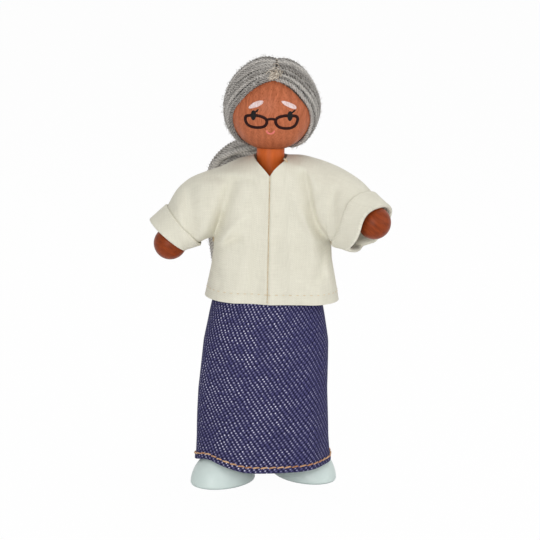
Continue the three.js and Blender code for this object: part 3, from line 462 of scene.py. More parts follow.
def ink(name, colour, rough, worn_through=None):
    """Ink that varies a little in thickness, or is worn through to another colour."""
    material, shader = new_material(name, Specular_IOR_Level=0.12)
    worn = noise(stretched(millimetres(shader.id_data), (1.0, 1.0, 0.4)), 3.2, 5.0, 0.65)
    light = tone(*(min(255, c + 14) for c in colour))
    dark = tone(*(worn_through or (max(0, c - 12) for c in colour)))
    fill(shader, {"Base Color": ramp(worn, (0.35, dark), (0.65, light)),
                  "Roughness": ramp(worn, (0.3, rough), (0.7, rough + 0.12))})
    return material


def on_head(across, up, above=0.0):
    """The point on the ball's front that lies that far across and up from its centre, seen from in front."""
    radius = HEAD_RADIUS + above
    return Vector((across, -math.sqrt(max(0.01, radius ** 2 - across ** 2 - up ** 2)), up)) + HEAD_CENTRE


def smooth_closed(points, steps):
    """A smooth closed line through a few points."""
    line = []
    for i in range(len(points)):
        a, b, c, d = (np.array(points[(i + k) % len(points)], float) for k in (-1, 0, 1, 2))
        for t in np.linspace(0, 1, steps, endpoint=False):
            bent = 2 * b + (c - a) * t + (2 * a - 5 * b + 4 * c - d) * t * t
            line.append(0.5 * (bent + (3 * b - a - 3 * c + d) * t ** 3))
    return line


def printed_patch(name, outline, material):
    """A filled patch of ink inside a closed outline, in rings from its middle out, with a thin edge."""
    outline = np.array(outline)
    middle = outline.mean(0)
    rings = [(0, 1), (0.25, 1), (0.5, 1), (0.75, 1), (0.93, 1), (1, 0.6), (1, -1), (0, -1)]
    points = [on_head(*(middle + (p - middle) * share), INK_THICKNESS * rise)
              for share, rise in rings for p in outline]
    return solid_piece(name, points, ring_faces(len(rings), len(outline)), material, "head")


def printed_stroke(name, line, width, material, closed=False, taper=0.0):
    """A line of ink of one width, or drawn thinner towards its far end."""
    line = [np.array(p, float) for p in line]
    count = len(line)
    points = []
    for i, spot in enumerate(line):
        before = line[(i - 1) % count] if closed or i else spot
        after = line[(i + 1) % count] if closed or i < count - 1 else spot
        way = (after - before) / (np.linalg.norm(after - before) + 1e-9)
        half = width / 2 * (1 - taper * i / max(1, count - 1))
        if not closed and i in (0, count - 1):
            half *= 0.55
        for share, rise in ((-1, -1.0), (-0.9, 0.7), (0, 1.0), (0.9, 0.7), (1, -1.0)):
            points.append(on_head(*(spot + np.array((-way[1], way[0])) * half * share), INK_THICKNESS * rise))
    faces = ring_faces(count + 1 if closed else count, 5)
    if closed:
        faces = [tuple(v % (count * 5) for v in face) for face in faces]
    else:
        faces += [(0, 1, 2, 3, 4), tuple(range(count * 5 - 1, count * 5 - 6, -1))]
    return solid_piece(name, points, faces, material, "head")


BROW_INK = ink("brow_white", (224, 208, 210), 0.5, (206, 168, 158))
EYE_INK = ink("eye_black", (22, 20, 20), 0.35)
GLASSES_INK = ink("glasses_brown", (36, 6, 2), 0.4)
SMILE_INK = ink("smile_pink", (222, 122, 112), 0.5)
BROWS = {
    "right": [(-6.77, 0.72), (-6.4, 1.38), (-5.26, 2.3), (-3.95, 2.86), (-2.74, 2.98), (-2.42, 2.62),
              (-2.85, 1.9), (-3.92, 1.22), (-5.22, 0.74), (-6.35, 0.48)],
    "left": [(2.88, 2.84), (3.3, 3.04), (4.29, 2.86), (5.8, 2.3), (6.95, 1.6), (7.36, 1.05), (7.14, 0.55),
             (6.02, 0.76), (4.7, 1.35), (3.46, 2.06)],
}
LENSES = {
    "right": [(-7.63, -2.3), (-7.2, -1.76), (-5.9, -1.52), (-4.24, -1.46), (-2.92, -1.72), (-1.79, -2.25),
              (-1.3, -3.1), (-1.5, -4.05), (-2.3, -4.78), (-3.8, -5.08), (-5.4, -5.02), (-6.8, -4.5),
              (-7.55, -3.4)],
    "left": [(1.3, -3.0), (1.66, -2.14), (2.75, -1.6), (4.19, -1.36), (5.89, -1.38), (7.15, -1.56),
             (7.75, -2.15), (7.65, -3.25), (7.05, -4.4), (5.88, -5.06), (4.3, -5.2), (2.6, -4.86),
             (1.6, -4.05)],
}
EYES = {"right": (-5.3, [(-4.8, -0.55), (-4.3, -0.12), (-3.8, 0.42)]),
        "left": (5.5, [(6.0, -0.55), (6.55, -0.1), (7.1, 0.38)])}
EYE_LEVEL, EYE_HALF_WIDTH, EYE_HALF_HEIGHT = -1.47, 0.8, 1.5
BRIDGE_START, BRIDGE_LENGTH, BRIDGE_ARCH = (-1.4, -2.62), 2.75, 0.248
SMILE_MIDDLE, SMILE_HALF_WIDTH, SMILE_DROP = (-0.17, -5.78), 1.16, 1.12
LASH_WIDTH, LENS_WIDTH, BRIDGE_WIDTH, SMILE_WIDTH = 0.74, 0.94, 0.82, 0.52


def arc(middle, half_width, half_height, angles):
    return [(middle[0] + half_width * math.cos(a), middle[1] + half_height * math.sin(a)) for a in angles]


for side, outline in BROWS.items():
    printed_patch(f"{side}_brow_print", smooth_closed(outline, 5), BROW_INK)
for side, (across, lash) in EYES.items():
    oval = arc((across, EYE_LEVEL), EYE_HALF_WIDTH, EYE_HALF_HEIGHT, np.linspace(0, 2 * math.pi, 33)[:-1])
    printed_patch(f"{side}_eye_print", oval, EYE_INK)
    printed_stroke(f"{side}_lash_print", lash, LASH_WIDTH, EYE_INK, taper=0.25)
for side, outline in LENSES.items():
    printed_stroke(f"{side}_lens_print", smooth_closed(outline, 6), LENS_WIDTH, GLASSES_INK, closed=True)
across, up = BRIDGE_START
bridge = [(across + BRIDGE_LENGTH * t, up + BRIDGE_ARCH * math.sin(math.pi * t) + 0.06 * t)
          for t in np.linspace(0, 1, 9)]
printed_stroke("glasses_bridge_print", bridge, BRIDGE_WIDTH, GLASSES_INK)
smile = arc(SMILE_MIDDLE, SMILE_HALF_WIDTH, SMILE_DROP, np.linspace(math.pi * 1.02, math.pi * 1.98, 15))
printed_stroke("smile_print", smile, SMILE_WIDTH, SMILE_INK)

# The hair: grey three-ply yarn laid over the ball from a parting to the nape, glued down, and sewn
# along the parting with tan thread. It is gathered at the nape and hangs on as a ponytail.
YARN_DIAMETER, HAIR_LIFT, CROWN_PILE = 1.12, 0.35, 0.8
HAIRLINE = [(0, -0.755, 0.656), (0.36, -0.8, 0.49), (0.623, -0.742, 0.246), (0.83, -0.56, -0.02),
            (0.877, -0.377, -0.3), (0.745, -0.15, -0.67), (0.47, 0.3, -0.86), (0.21, 0.74, -0.64)]
PARTING_END, NAPE = math.radians(30), math.radians(-38)
PARTING_OFF_CENTRE = 1.15


def by_chance(seed, low, high, **more):
    """A number or a vector between two bounds, another for each strand or fibre."""
    vector = isinstance(low, tuple)
    return add_node(seed.tree, "FunctionNodeRandomValue", {"Min": low, "Max": high, "Seed": seed, **more},
                    data_type="FLOAT_VECTOR" if vector else "FLOAT")[0 if vector else 1]


def kept_as(name, geometry, value, domain):
    """The geometry with a value kept on it, for its material to read by name."""
    return add_node(geometry.tree, "GeometryNodeStoreNamedAttribute", {
        "Geometry": geometry, "Name": name, "Value": value}, data_type="FLOAT", domain=domain)


def swept(path, section):
    return add_node(path.tree, "GeometryNodeCurveToMesh", {
        "Curve": path, "Profile Curve": section, "Fill Caps": True})


def end_tree(geometry, given):
    """The end of a tree: instances made real, and the material given to them."""
    real = add_node(geometry.tree, "GeometryNodeRealizeInstances", {"Geometry": geometry})
    finished = add_node(real.tree, "GeometryNodeSetMaterial", {
        "Geometry": real, "Material": given["Material"]})
    add_node(real.tree, "NodeGroupOutput", {"Geometry": finished})


# Plied yarn swept along curves: lobes for the plies, twisted by the length along each strand.
YARN_TREE, given = new_group("plied_yarn", "Geometry", {
    "Geometry": "Geometry", "Diameter": 0.001, "Plies": 3.0, "Twist Length": 0.004, "Ply Depth": 0.18,
    "Step": 0.0005, "Sides": 9, "Seed": 0, "Material": "Material"}, {"Geometry": "Geometry"})
index = add_node(YARN_TREE, "GeometryNodeInputIndex")
start = add_node(YARN_TREE, "GeometryNodeFieldOnDomain", {
    "Value": by_chance(given["Seed"], 0.0, 6.28, ID=index)}, domain="CURVE", data_type="FLOAT")
length = add_node(YARN_TREE, "GeometryNodeSplineParameter")["Length"]
even = add_node(YARN_TREE, "GeometryNodeResampleCurve", {
    "Curve": given["Geometry"], "Length": given["Step"]}, mode="LENGTH")
twisted = add_node(YARN_TREE, "GeometryNodeSetCurveTilt", {
    "Curve": even, "Tilt": length * (2 * math.pi) / given["Twist Length"] + start})
path = kept_as("strand_tint", twisted, by_chance(given["Seed"], 0.0, 1.0, ID=index), "CURVE")
ring = add_node(YARN_TREE, "GeometryNodeCurvePrimitiveCircle", {
    "Resolution": given["Sides"], "Radius": given["Diameter"] / 2.0})
spot = add_node(YARN_TREE, "GeometryNodeInputPosition")
crown = (separate(spot)["Y"].done("ARCTAN2", separate(spot)["X"]) * given["Plies"]).done("COSINE")
lobed = add_node(YARN_TREE, "GeometryNodeSetPosition", {
    "Geometry": ring, "Position": spot.vector("SCALE", crown * given["Ply Depth"] + 1.0)})
yarn = swept(path, kept_as("ply_crown", lobed, crown, "POINT"))
end_tree(add_node(YARN_TREE, "GeometryNodeSetShadeSmooth", {"Geometry": yarn, "Shade Smooth": True}), given)


def through_nodes(name, source, tree, values, material):
    """Runs a geometry tree on an object and gives back its result as a plain mesh object."""
    modifier = source.modifiers.new("tree", "NODES")
    modifier.node_group = tree
    sockets = [item for item in tree.interface.items_tree if item.item_type == "SOCKET"]
    keys = {socket.name: socket.identifier for socket in sockets if socket.in_out == "INPUT"}
    for key, value in {**values, "Material": material}.items():
        modifier[keys[key]] = value
    bpy.context.view_layer.update()
    mesh = bpy.data.meshes.new_from_object(source.evaluated_get(bpy.context.evaluated_depsgraph_get()))
    mesh.name = name
    if not mesh.materials:
        mesh.materials.append(material)
    source.modifiers.remove(modifier)
    bpy.data.objects.remove(source)
    return set_down(name, mesh)


def plied(name, strands, material, diameter=YARN_DIAMETER, plies=3, twist=2.9, depth=0.24, step=0.4, sides=9,
          seed=1):
    """Strands of plied yarn or thread; each is points in millimetres, or these and their thickness shares."""
    curve = bpy.data.curves.new(name + "_paths", "CURVE")
    curve.dimensions = "3D"
    for strand in strands:
        points, shares = strand if isinstance(strand, tuple) else (strand, [1.0] * len(strand))
        spline = curve.splines.new("POLY")
        spline.points.add(len(points) - 1)
        for spot, place, share in zip(spline.points, metres([tuple(p) for p in points]), shares):
            spot.co = (*place, 1)
            spot.radius = share
    return through_nodes(name, set_down(name + "_paths", curve), YARN_TREE, {
        "Diameter": diameter / 1000, "Plies": float(plies), "Twist Length": twist / 1000, "Ply Depth": depth,
        "Step": step / 1000, "Sides": sides, "Seed": seed}, material)


# Spun fibre seen close up: fine lint over the strand's own colour, with painted shade down between the plies.
SPUN_FIBRE, given = new_group("spun_fibre", "Shader", {
    "Place": "Vector", "Tint": "Float", "Crown": "Float", "Light": "Color", "Dark": "Color",
    "Fibre Scale": "Float"}, PATTERN)
fuzz = noise(given["Place"], given["Fibre Scale"], 6.0, 0.72, 0.6)
share = ramp(fuzz, (0.37, 0.0), (0.63, 1.0)) * 0.66 + noise(given["Place"], 0.55, 2.0) * 0.34
# Painted shade: the grooves between the plies, where the crown is low, are darkened.
share = share + (given["Tint"] - 0.5) * 0.62 + given["Crown"] * 0.26
share = add_node(SPUN_FIBRE, "ShaderNodeClamp", {"Value": share})
add_node(SPUN_FIBRE, "NodeGroupOutput", {
    "Color": mix(share, given["Dark"], given["Light"]), "Roughness": fuzz * 0.2 + 0.78, "Height": fuzz})


def on_yarn(tree):
    tint, crown = (add_node(tree, "ShaderNodeAttribute", attribute_name=name)["Fac"]
                   for name in ("strand_tint", "ply_crown"))
    return {"Place": millimetres(tree), "Tint": tint, "Crown": crown}


def yarn_finish(name, light, dark, scale=3.4):
    return patterned(
        name, SPUN_FIBRE, on_yarn, {"Light": light, "Dark": dark, "Fibre Scale": scale}, (0.5, 0.12),
        Specular_IOR_Level=0.15, Sheen_Weight=0.25, Sheen_Roughness=0.5)


GREY_YARN = yarn_finish("grey_yarn", (220, 215, 208), (54, 47, 42))
# The sheet under the hair is painted shade: a dark finish that shows through the gaps between the strands.
HAIR_SHADOW = yarn_finish("hair_backing", (84, 74, 66), (52, 42, 36))
LINT = yarn_finish("wool_lint", (240, 236, 230), (54, 47, 42), 3.0)


def smooth_line(points, count):
    """A smooth open line through points, at evenly spread places (Catmull-Rom, centripetal spacing)."""
    known = [np.array(p, float) for p in points]
    known = [2 * known[0] - known[1]] + known + [2 * known[-1] - known[-2]]
    knots = [0.0]
    for a, b in zip(known, known[1:]):
        knots.append(knots[-1] + math.sqrt(np.linalg.norm(b - a)) + 1e-9)

    def between(first, last, a, b, t):
        return (last - t) / (last - first) * a + (t - first) / (last - first) * b

    line = []
    for share in np.linspace(0, 1, count):
        place = share * (len(points) - 1)
        k = min(int(place), len(points) - 2) + 1
        t = knots[k] + (place - (k - 1)) * (knots[k + 1] - knots[k])
        k0, k1, k2, k3 = knots[k - 1:k + 3]
        p0, p1, p2, p3 = known[k - 1:k + 3]
        a1, a2, a3 = between(k0, k1, p0, p1, t), between(k1, k2, p1, p2, t), between(k2, k3, p2, p3, t)
        line.append(between(k1, k2, between(k0, k2, a1, a2, t), between(k1, k3, a2, a3, t), t))
    return np.array(line)


hairline_points = smooth_line(HAIRLINE, 101)


def hair_way(across, down):
    """The direction from the ball's centre to a place on the doll's left half of the hair."""
    low = min(int(down * 100), 99)
    front = hairline_points[low] + (hairline_points[low + 1] - hairline_points[low]) * (down * 100 - low)
    angle = PARTING_END + (NAPE - PARTING_END) * down
    return Vector(front).normalized().slerp(Vector((0, math.cos(angle), math.sin(angle))), across)


def laid_over(way, above):
    """A point of the hair: piled a little higher on the crown, with the parting just to the doll's left."""
    pile = above + CROWN_PILE * max(0.0, way.z) ** 3
    high = min(1.0, max(0.0, (way.z - 0.1) / 0.85))
    way = (way + Vector((PARTING_OFF_CENTRE / HEAD_RADIUS * high ** 1.5, 0, 0))).normalized()
    return HEAD_CENTRE + way * (HEAD_RADIUS + pile)


tie_low, tie_high = box_mm("hair_tie")
TIE = Vector((tie_low + tie_high) / 2)
TIE_RADIUS = (tie_high[0] - tie_low[0]) / 2
SUNFLOWER_TURN = 2.39996  # strands fill a bundle as seeds fill a sunflower
lay_by = random.Random(7)

# Loose fibres that stand off spun yarn: short bent hairs scattered over the side of it that shows.
LINT_TREE, given = new_group("loose_lint", "Geometry", {
    "Geometry": "Geometry", "Middle": "Vector", "Density": 500000.0, "Length": 0.0012, "Stand": 0.0002,
    "Thickness": 0.00008, "Seed": 0, "Material": "Material"}, {"Geometry": "Geometry"})
away = add_node(LINT_TREE, "GeometryNodeInputPosition").vector("SUBTRACT", given["Middle"])
facing = add_node(LINT_TREE, "GeometryNodeInputNormal")
outside = away.vector("NORMALIZE").vector("DOT_PRODUCT", facing)["Value"]
shows = add_node(LINT_TREE, "FunctionNodeCompare", {"A": outside, "B": 0.35}, operation="GREATER_THAN")
roots = add_node(LINT_TREE, "GeometryNodeDistributePointsOnFaces", {
    "Mesh": given["Geometry"], "Selection": shows, "Density": given["Density"], "Seed": given["Seed"]})
length = given["Length"]
middle = add_node(LINT_TREE, "ShaderNodeCombineXYZ", {"X": length * 0.35, "Z": given["Stand"]})
tip = add_node(LINT_TREE, "ShaderNodeCombineXYZ", {"X": length, "Y": length * 0.3})
bend = add_node(LINT_TREE, "GeometryNodeCurveQuadraticBezier", {
    "Resolution": 4, "Start": (0, 0, -0.00006), "Middle": middle, "End": tip})
ring = add_node(LINT_TREE, "GeometryNodeCurvePrimitiveCircle", {
    "Resolution": 3, "Radius": given["Thickness"] / 2.0})
spin = by_chance(given["Seed"], (-0.25, -0.34, 0.0), (0.25, 0.2, 6.283))
lean = add_node(LINT_TREE, "FunctionNodeEulerToRotation", {"Euler": spin})
leant = add_node(LINT_TREE, "FunctionNodeRotateRotation", {
    "Rotation": roots["Rotation"], "Rotate By": lean}, rotation_space="LOCAL")
strewn = add_node(LINT_TREE, "GeometryNodeInstanceOnPoints", {
    "Points": roots, "Instance": swept(bend, ring), "Rotation": leant,
    "Scale": by_chance(given["Seed"], 0.45, 1.25)})
end_tree(kept_as("strand_tint", strewn, by_chance(given["Seed"], 0.0, 1.0), "INSTANCE"), given)


def linted(name, yarn, middle, density, seed):
    """The loose fibres of one yarn piece, on the side away from a middle point."""
    return through_nodes(name, set_down(name + "_roots", yarn.data.copy()), LINT_TREE, {
        "Middle": tuple(metres(middle)[0]), "Density": density * 1e6, "Seed": seed}, LINT)


STRANDS, CAP_STEPS = 27, 25
STRAND_WANDERS, STRAND_STANDS = 0.35, (-0.34, -0.12, 0.0, 0.1, 0.16)
HAIR_LINT, TAIL_LINT = 1.25, 1.0  # loose fibres per square millimetre
GATHERED_SHARE, PARTING_GAP, CAP_LIFT, SHADE_SHEET_THICKNESS = 0.72, 0.026, 0.1, 0.25
for side, sign in SIGNS.items():
    strands = []
    for k in range(STRANDS):
        across = (k + 0.5) / STRANDS
        points, shares = [], []
        drift = lay_by.uniform(-STRAND_WANDERS, STRAND_WANDERS) / STRANDS
        stands = lay_by.choice(STRAND_STANDS)
        bow = lay_by.uniform(-STRAND_WANDERS, STRAND_WANDERS) / STRANDS
        for t in np.linspace(0, 0.985, 34):
            share = min(0.995, max(0.004, across + drift * t + bow * math.sin(math.pi * t * 2)))
            way = hair_way(share, t)
            sunk = 0.62 * math.exp(-((t / 0.05) ** 2))
            gather = max(0, (t - 0.7) / 0.285) ** 2
            lift = HAIR_LIFT + YARN_DIAMETER / 2 - sunk + (k % 3) * 1.15 * gather
            lift += 0.2 * math.sin(k * 2.4 + t * 9)
            lift += stands * math.sin(math.pi * min(1, t * 1.2)) + 0.5 * max(0, t - 0.8) / 0.2
            lift -= 0.3 * math.exp(-((k / 1.2) ** 2)) * math.sin(math.pi * t)
            points.append(laid_over(Vector((sign * (way.x + PARTING_GAP), way.y, way.z)).normalized(), lift))
            shares.append(1.0 + 0.1 * math.sin(k * 1.7 + t * 6) - 0.2 * gather)
        number = k * 2 + (sign > 0)
        angle = number * SUNFLOWER_TURN
        reach = (TIE_RADIUS - 1.25) * math.sqrt((number + 0.5) / (STRANDS * 2))
        rest = Vector((reach * math.cos(angle), reach * math.sin(angle), 0))
        last = points[-1]
        for t in (0.45, 0.8, 1.0, 1.25):
            target = TIE + rest + Vector((0, 0, 1.6 - 1.6 * t))
            points.append(last.lerp(target, min(1, t * t * (2.2 - 1.2 * t))) if t < 1 else target)
            shares.append(GATHERED_SHARE)
        strands.append((points, shares))
    hair = plied(f"hair_{side}_yarn", strands, GREY_YARN, seed=3 + sign)
    fit(hair, "head", [f"hair_{side}_side"])
    fit(linted(f"hair_{side}_lint", hair, HEAD_CENTRE, HAIR_LINT, 6 + sign), "head")
    # A dark sheet of painted shade under each side's strands, so that the gaps between them show dark.
    ways = [hair_way(share, t)
            for t in np.linspace(0, 1, CAP_STEPS) for share in np.linspace(0.012, 1, CAP_STEPS)]
    cap = [laid_over(Vector((sign * way.x, way.y, way.z)), CAP_LIFT) for way in ways]
    faces = [f[::sign] for f in ring_faces(CAP_STEPS, CAP_STEPS, closed=False)]
    painted_shade_sheet = solid_piece(f"hair_{side}_backing", cap, faces, HAIR_SHADOW)
    glue = painted_shade_sheet.modifiers.new("glue", "SOLIDIFY")
    glue.thickness, glue.offset = SHADE_SHEET_THICKNESS / 1000, 1
    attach(painted_shade_sheet, "head")

# The ponytail: the same yarn beyond the tie, let loose and swept down behind the right shoulder. Its lower
# end hangs behind the blouse.
PONYTAIL = [  # the way that its middle takes from the tie, and how far it spreads there
    (0, 0, 0.6, 2.1), (-0.4, 0.1, -1.5, 2.3), (-4.3, 1.2, -3.6, 4.5), (-9.3, 2.9, -5.8, 5.5),
    (-13.2, 4.0, -10.4, 5.8), (-15.4, 4.6, -16.6, 5.5), (-15.6, 4.7, -24.3, 4.9), (-14.7, 4.3, -34.6, 4.0),
    (-14.2, 3.8, -42.8, 3.0), (-14, 3.6, -45, 2.6)]
TAIL_STRANDS, TAIL_STEPS = 40, 90
tail_line = smooth_line([row[:3] for row in PONYTAIL], TAIL_STEPS)
shares = np.linspace(0, 1, TAIL_STEPS)
tail_radius = np.interp(shares, np.linspace(0, 1, len(PONYTAIL)), [row[3] for row in PONYTAIL])
frames = []
deep = np.array((0.0, 1.0, 0.0))
for i in range(TAIL_STEPS):
    way = tail_line[min(i + 1, TAIL_STEPS - 1)] - tail_line[max(i - 1, 0)]
    way /= np.linalg.norm(way)
    deep = deep - way * (deep @ way)
    deep /= np.linalg.norm(deep)
    frames.append((np.cross(deep, way), deep))
strands = []
for k in range(TAIL_STRANDS):
    reach = math.sqrt((k + 0.5) / TAIL_STRANDS) * 0.93
    ends = lay_by.uniform(0.9, 1.0)
    sway = [lay_by.uniform(-1, 1) for _ in range(4)]
    points, shares = [], []
    for share in np.linspace(0, ends, 64):
        i = share * (TAIL_STEPS - 1)
        low = min(int(i), TAIL_STEPS - 2)
        centre = tail_line[low] + (tail_line[low + 1] - tail_line[low]) * (i - low)
        radius = np.interp(i, range(TAIL_STEPS), tail_radius)
        across, deep = frames[low]
        loose = min(1, share * 4)
        turn = k * SUNFLOWER_TURN + share * 2.6 + 0.25 * loose * math.sin(share * 14 + sway[0] * 3)
        out = max(0.3, (radius - 0.5) * reach * (1 + 0.1 * loose * math.sin(share * 11 + sway[1] * 3)))
        points.append(Vector(centre + across * out * math.cos(turn) + deep * out * math.sin(turn)) + TIE)
        shares.append(GATHERED_SHARE + 0.24 * loose)
    strands.append((points, shares))
ponytail = plied("ponytail_yarn", strands, GREY_YARN, diameter=1.5, depth=0.26, seed=9)
swings = ("head", "torso", *(metres(TIE + Vector((0, 0, -below)))[0] for below in (2, 21)))
fit(ponytail, swings, ["ponytail"])
fit(linted("ponytail_lint", ponytail, TIE + Vector((-4, 60, -40)), TAIL_LINT, 12), swings)

# The tie is three turns of the same yarn round the bundle, and the parting is sewn down with tan
# thread whose frayed ends stand up in a small tuft over the forehead.
TAN_THREAD = yarn_finish("tan_thread", (250, 242, 226), (122, 96, 74), 6.0)
PARTING_STITCHES, TUFT_THREADS, HIGH_STITCHES = 17, 110, (1, 2, 3)
turns = [TIE + Vector(((TIE_RADIUS - 0.5) * math.cos(a), (TIE_RADIUS - 0.5) * math.sin(a),
                       -0.62 + 1.3 * a / (6 * math.pi))) for a in np.linspace(0, 6 * math.pi, 150)]
tie = plied("hair_tie_yarn", [turns], GREY_YARN, diameter=0.82, twist=2.6, seed=5)
fit(tie, "head", ["hair_tie"])
stitches = []
forehead = math.atan2(HAIRLINE[0][2], HAIRLINE[0][1])
for k in range(PARTING_STITCHES):
    angle = forehead + (PARTING_END - forehead) * (k + 0.4) / PARTING_STITCHES
    centre = laid_over(Vector((0, math.cos(angle), math.sin(angle))), 0)
    outward = (centre - HEAD_CENTRE).normalized()
    down = Vector((0, -math.sin(angle), math.cos(angle)))
    lean = lay_by.uniform(-0.5, 0.5)
    proud = 1.3 if k in HIGH_STITCHES else 0.35
    stitches.append([
        centre + outward * (0.3 + proud * math.sqrt(max(0, 1 - abs(t) ** 3))) + Vector((t * 0.95, 0, 0))
        + down * (t * 0.45 + lean * 0.4) for t in np.linspace(-1, 1, 9)])
for k in range(TUFT_THREADS):
    angle = forehead - 0.08 + lay_by.uniform(-0.11, 0.1)
    centre = Vector((0, math.cos(angle), math.sin(angle)))
    base = laid_over(centre, 1.1)
    base += Vector((lay_by.gauss(0.1, 0.85), lay_by.uniform(-0.3, 0.2), lay_by.gauss(0, 0.2)))
    lean = Vector((lay_by.uniform(-0.75, 0.75), lay_by.uniform(-0.5, 0.2), lay_by.uniform(-0.45, 0.6)))
    curl = Vector((lay_by.uniform(-0.7, 0.7), lay_by.uniform(-0.5, 0.2), lay_by.uniform(-0.6, 0.6)))
    stitches.append([base + lean * t + curl * t * t + centre * 0.5 * math.sin(math.pi * t)
                     for t in np.linspace(0, 1, 7)])
sewing = plied("parting_stitches", stitches, TAN_THREAD, diameter=0.23, plies=2, twist=0.9, step=0.2, sides=6,
               seed=2)
fit(sewing, "head")

# The blouse: two fronts and a back of cream cotton lawn, cut with the sleeves in one and sewn along
# the shoulders, under the arms and down the front. It is worked out flat, as the pattern is cut, and
# then filled out: the cloth bellies most where it is furthest from a seam, and dips where it is pulled.
CLOTH_THICKNESS, BLOUSE_HEM, NECK_CORNER = 0.4, 56.5, 5.1
ARMPIT_LEVEL_CENTRE, HEM_SEWN_ROW, CUFF_STANDS_OFF = 74.4, 18, 0.46
NECK_STEPS = [0.0, 0.16, 0.36, 0.7, 1.2, 1.8, 2.5, 3.3, 4.2]
SHOULDER_STEPS, SLEEVE_STEPS, CUFF_STEPS, UPPER_ROWS, LOWER_ROWS = 17, 24, 9, 40, 24
BLOUSE_DEPTH, SEAM_REACH, FOLD_STRENGTH = 11.6, 1.8, 1.7
SLEEVE_BENDS = ((7.5, 14), (19.5, 7))  # the start and the length of the bends at the shoulder and the elbow
CUFF_CLOTH_SHIFT = (7.3, 0)  # the turned cuff shows another part of the cloth than the sleeve's end
CUTS = {  # in millimetres across and up; the sleeve's turns forward at its two bends are in degrees
    "right": {
        "top": [(5.1, 100.3), (9.8, 98.9), (15.4, 96.3), (19.5, 94.9), (24.3, 92.7), (28.0, 89.3),
                (31.1, 83.7)],
        "underarm": [(16.6, 75.0), (19.3, 74.3), (21.3, 73.1)],
        "flank": [(16.6, 75.0), (16.7, 72.0), (17.3, 66.5), (18.6, 60.0), (19.3, BLOUSE_HEM)],
        "opening": [(35.3, 79.8), (25.3, 71.8)], "neck": (5.35, 0.92),
        "forward": [0, 0], "hem_lift": 0.8, "bow": 0,
    },
    "left": {
        "top": [(5.1, 100.4), (9.4, 100.5), (15.2, 99.1), (20.4, 97.2), (26.4, 94.2), (29.4, 92.2),
                (31.4, 90.2)],
        "underarm": [(18.9, 75.2), (20.6, 74.8), (22.2, 73.9)],
        "flank": [(18.9, 75.2), (19.3, 69.0), (20.4, 63.5), (21.3, 59.0), (21.7, BLOUSE_HEM)],
        "opening": [(36.4, 87.2), (28.0, 73.1)], "neck": (5.4, 0.66),
        "forward": [28, 9.4], "hem_lift": 0.1, "bow": 2.8,
    },
}
FOLDS = [  # each from one place to another, with its width and how far it stands out or in
    (-17.0, 75.5, -11.5, 92.0, 2.0, -2.2), (-15.4, 74.5, -8.5, 82.5, 1.2, 0.95),
    (-16.2, 76.0, -14.2, 83.0, 0.8, -1.2), (-17.5, 72.0, -9.0, 77.0, 0.9, -0.7),
    (-17.2, 71.5, -14.6, 62.0, 1.1, -0.9), (-18.5, 94.0, -4.5, 93.6, 0.75, -0.6),
    (-16.0, 96.0, -6.0, 95.4, 1.0, 0.35), (18.8, 76.0, 10.5, 95.0, 2.4, -1.7),
    (18.0, 75.0, 8.0, 86.5, 1.5, 0.7), (17.8, 73.5, 14.6, 63.0, 1.4, -1.0),
    (14.0, 75.5, 11.0, 62.0, 2.0, 0.5), (16.8, 66.0, 18.6, 58.5, 1.2, -0.5),
    (6.0, 72.0, 7.5, 57.0, 2.2, 0.55), (-6.5, 74.0, -9.5, 57.0, 2.4, 0.6),
    (-2.5, 84.0, -3.5, 58.0, 1.6, -0.35), (3.0, 88.0, 2.6, 72.0, 1.4, -0.3),
    (9.0, 98.5, 17.0, 93.0, 1.2, 0.6), (-24.0, 90.0, -22.5, 77.0, 1.8, -0.7),
    (24.5, 91.0, 26.0, 80.0, 1.6, -0.6), (-28.0, 86.5, -25.0, 76.0, 1.2, 0.35),
]


def runs_along(points):
    """The length of a line up to each of its points."""
    return np.r_[0, np.cumsum(np.linalg.norm(np.diff(points, axis=0), axis=1))]


def at_run(run, runs, line):
    """What a line holds at one length along it."""
    return np.array([np.interp(run, runs, line[:, k]) for k in range(line.shape[1])])


def along(line, share):
    """The place on a broken line at a share of its length."""
    line = np.array(line, float)
    runs = runs_along(line)
    return at_run(share * runs[-1], runs, line)


def filled_out(points, quads, sewn):
    """How far cloth stands off a flat cut that is sewn at some edges: a soap film's height, rooted."""
    triangles = np.array([(a, b, c) for a, b, c, d in quads] + [(a, c, d) for a, b, c, d in quads])
    corner = points[triangles]
    count = len(points)
    weights, starts, ends = [], [], []
    area = np.zeros(count)
    for k in range(3):
        a, b, c = corner[:, k], corner[:, (k + 1) % 3], corner[:, (k + 2) % 3]
        u, v = b - a, c - a
        cross = np.abs(u[:, 0] * v[:, 1] - u[:, 1] * v[:, 0]) + 1e-9
        weights.append((u * v).sum(1) / cross / 2)
        starts.append(triangles[:, (k + 1) % 3])
        ends.append(triangles[:, (k + 2) % 3])
        area += np.bincount(triangles[:, k], cross / 6, count)
    weight, start, end = np.concatenate(weights), np.concatenate(starts), np.concatenate(ends)
    free = ~sewn

    def pull(height):
        flow = weight * (height[start] - height[end])
        return (np.bincount(start, flow, count) - np.bincount(end, flow, count)) * free

    height = np.zeros(count)
    rest = area * free
    way = rest.copy()
    energy = rest @ rest
    for _ in range(900):
        pulled = pull(way)
        step = energy / (way @ pulled)
        height += step * way
        rest -= step * pulled
        new_energy = rest @ rest
        if new_energy < 1e-10:
            break
        way = rest + way * new_energy / energy
        energy = new_energy
    return np.sqrt(np.maximum(0, 2 * height))


def neckline(side, across, front):
    """The height of the neck edge: a V in front, a shallow scoop behind."""
    share = min(1.0, across / NECK_CORNER)
    rise, power = CUTS[side]["neck"]
    return 94.95 + rise * share ** power if front else 99.3 + 1.05 * share ** 2


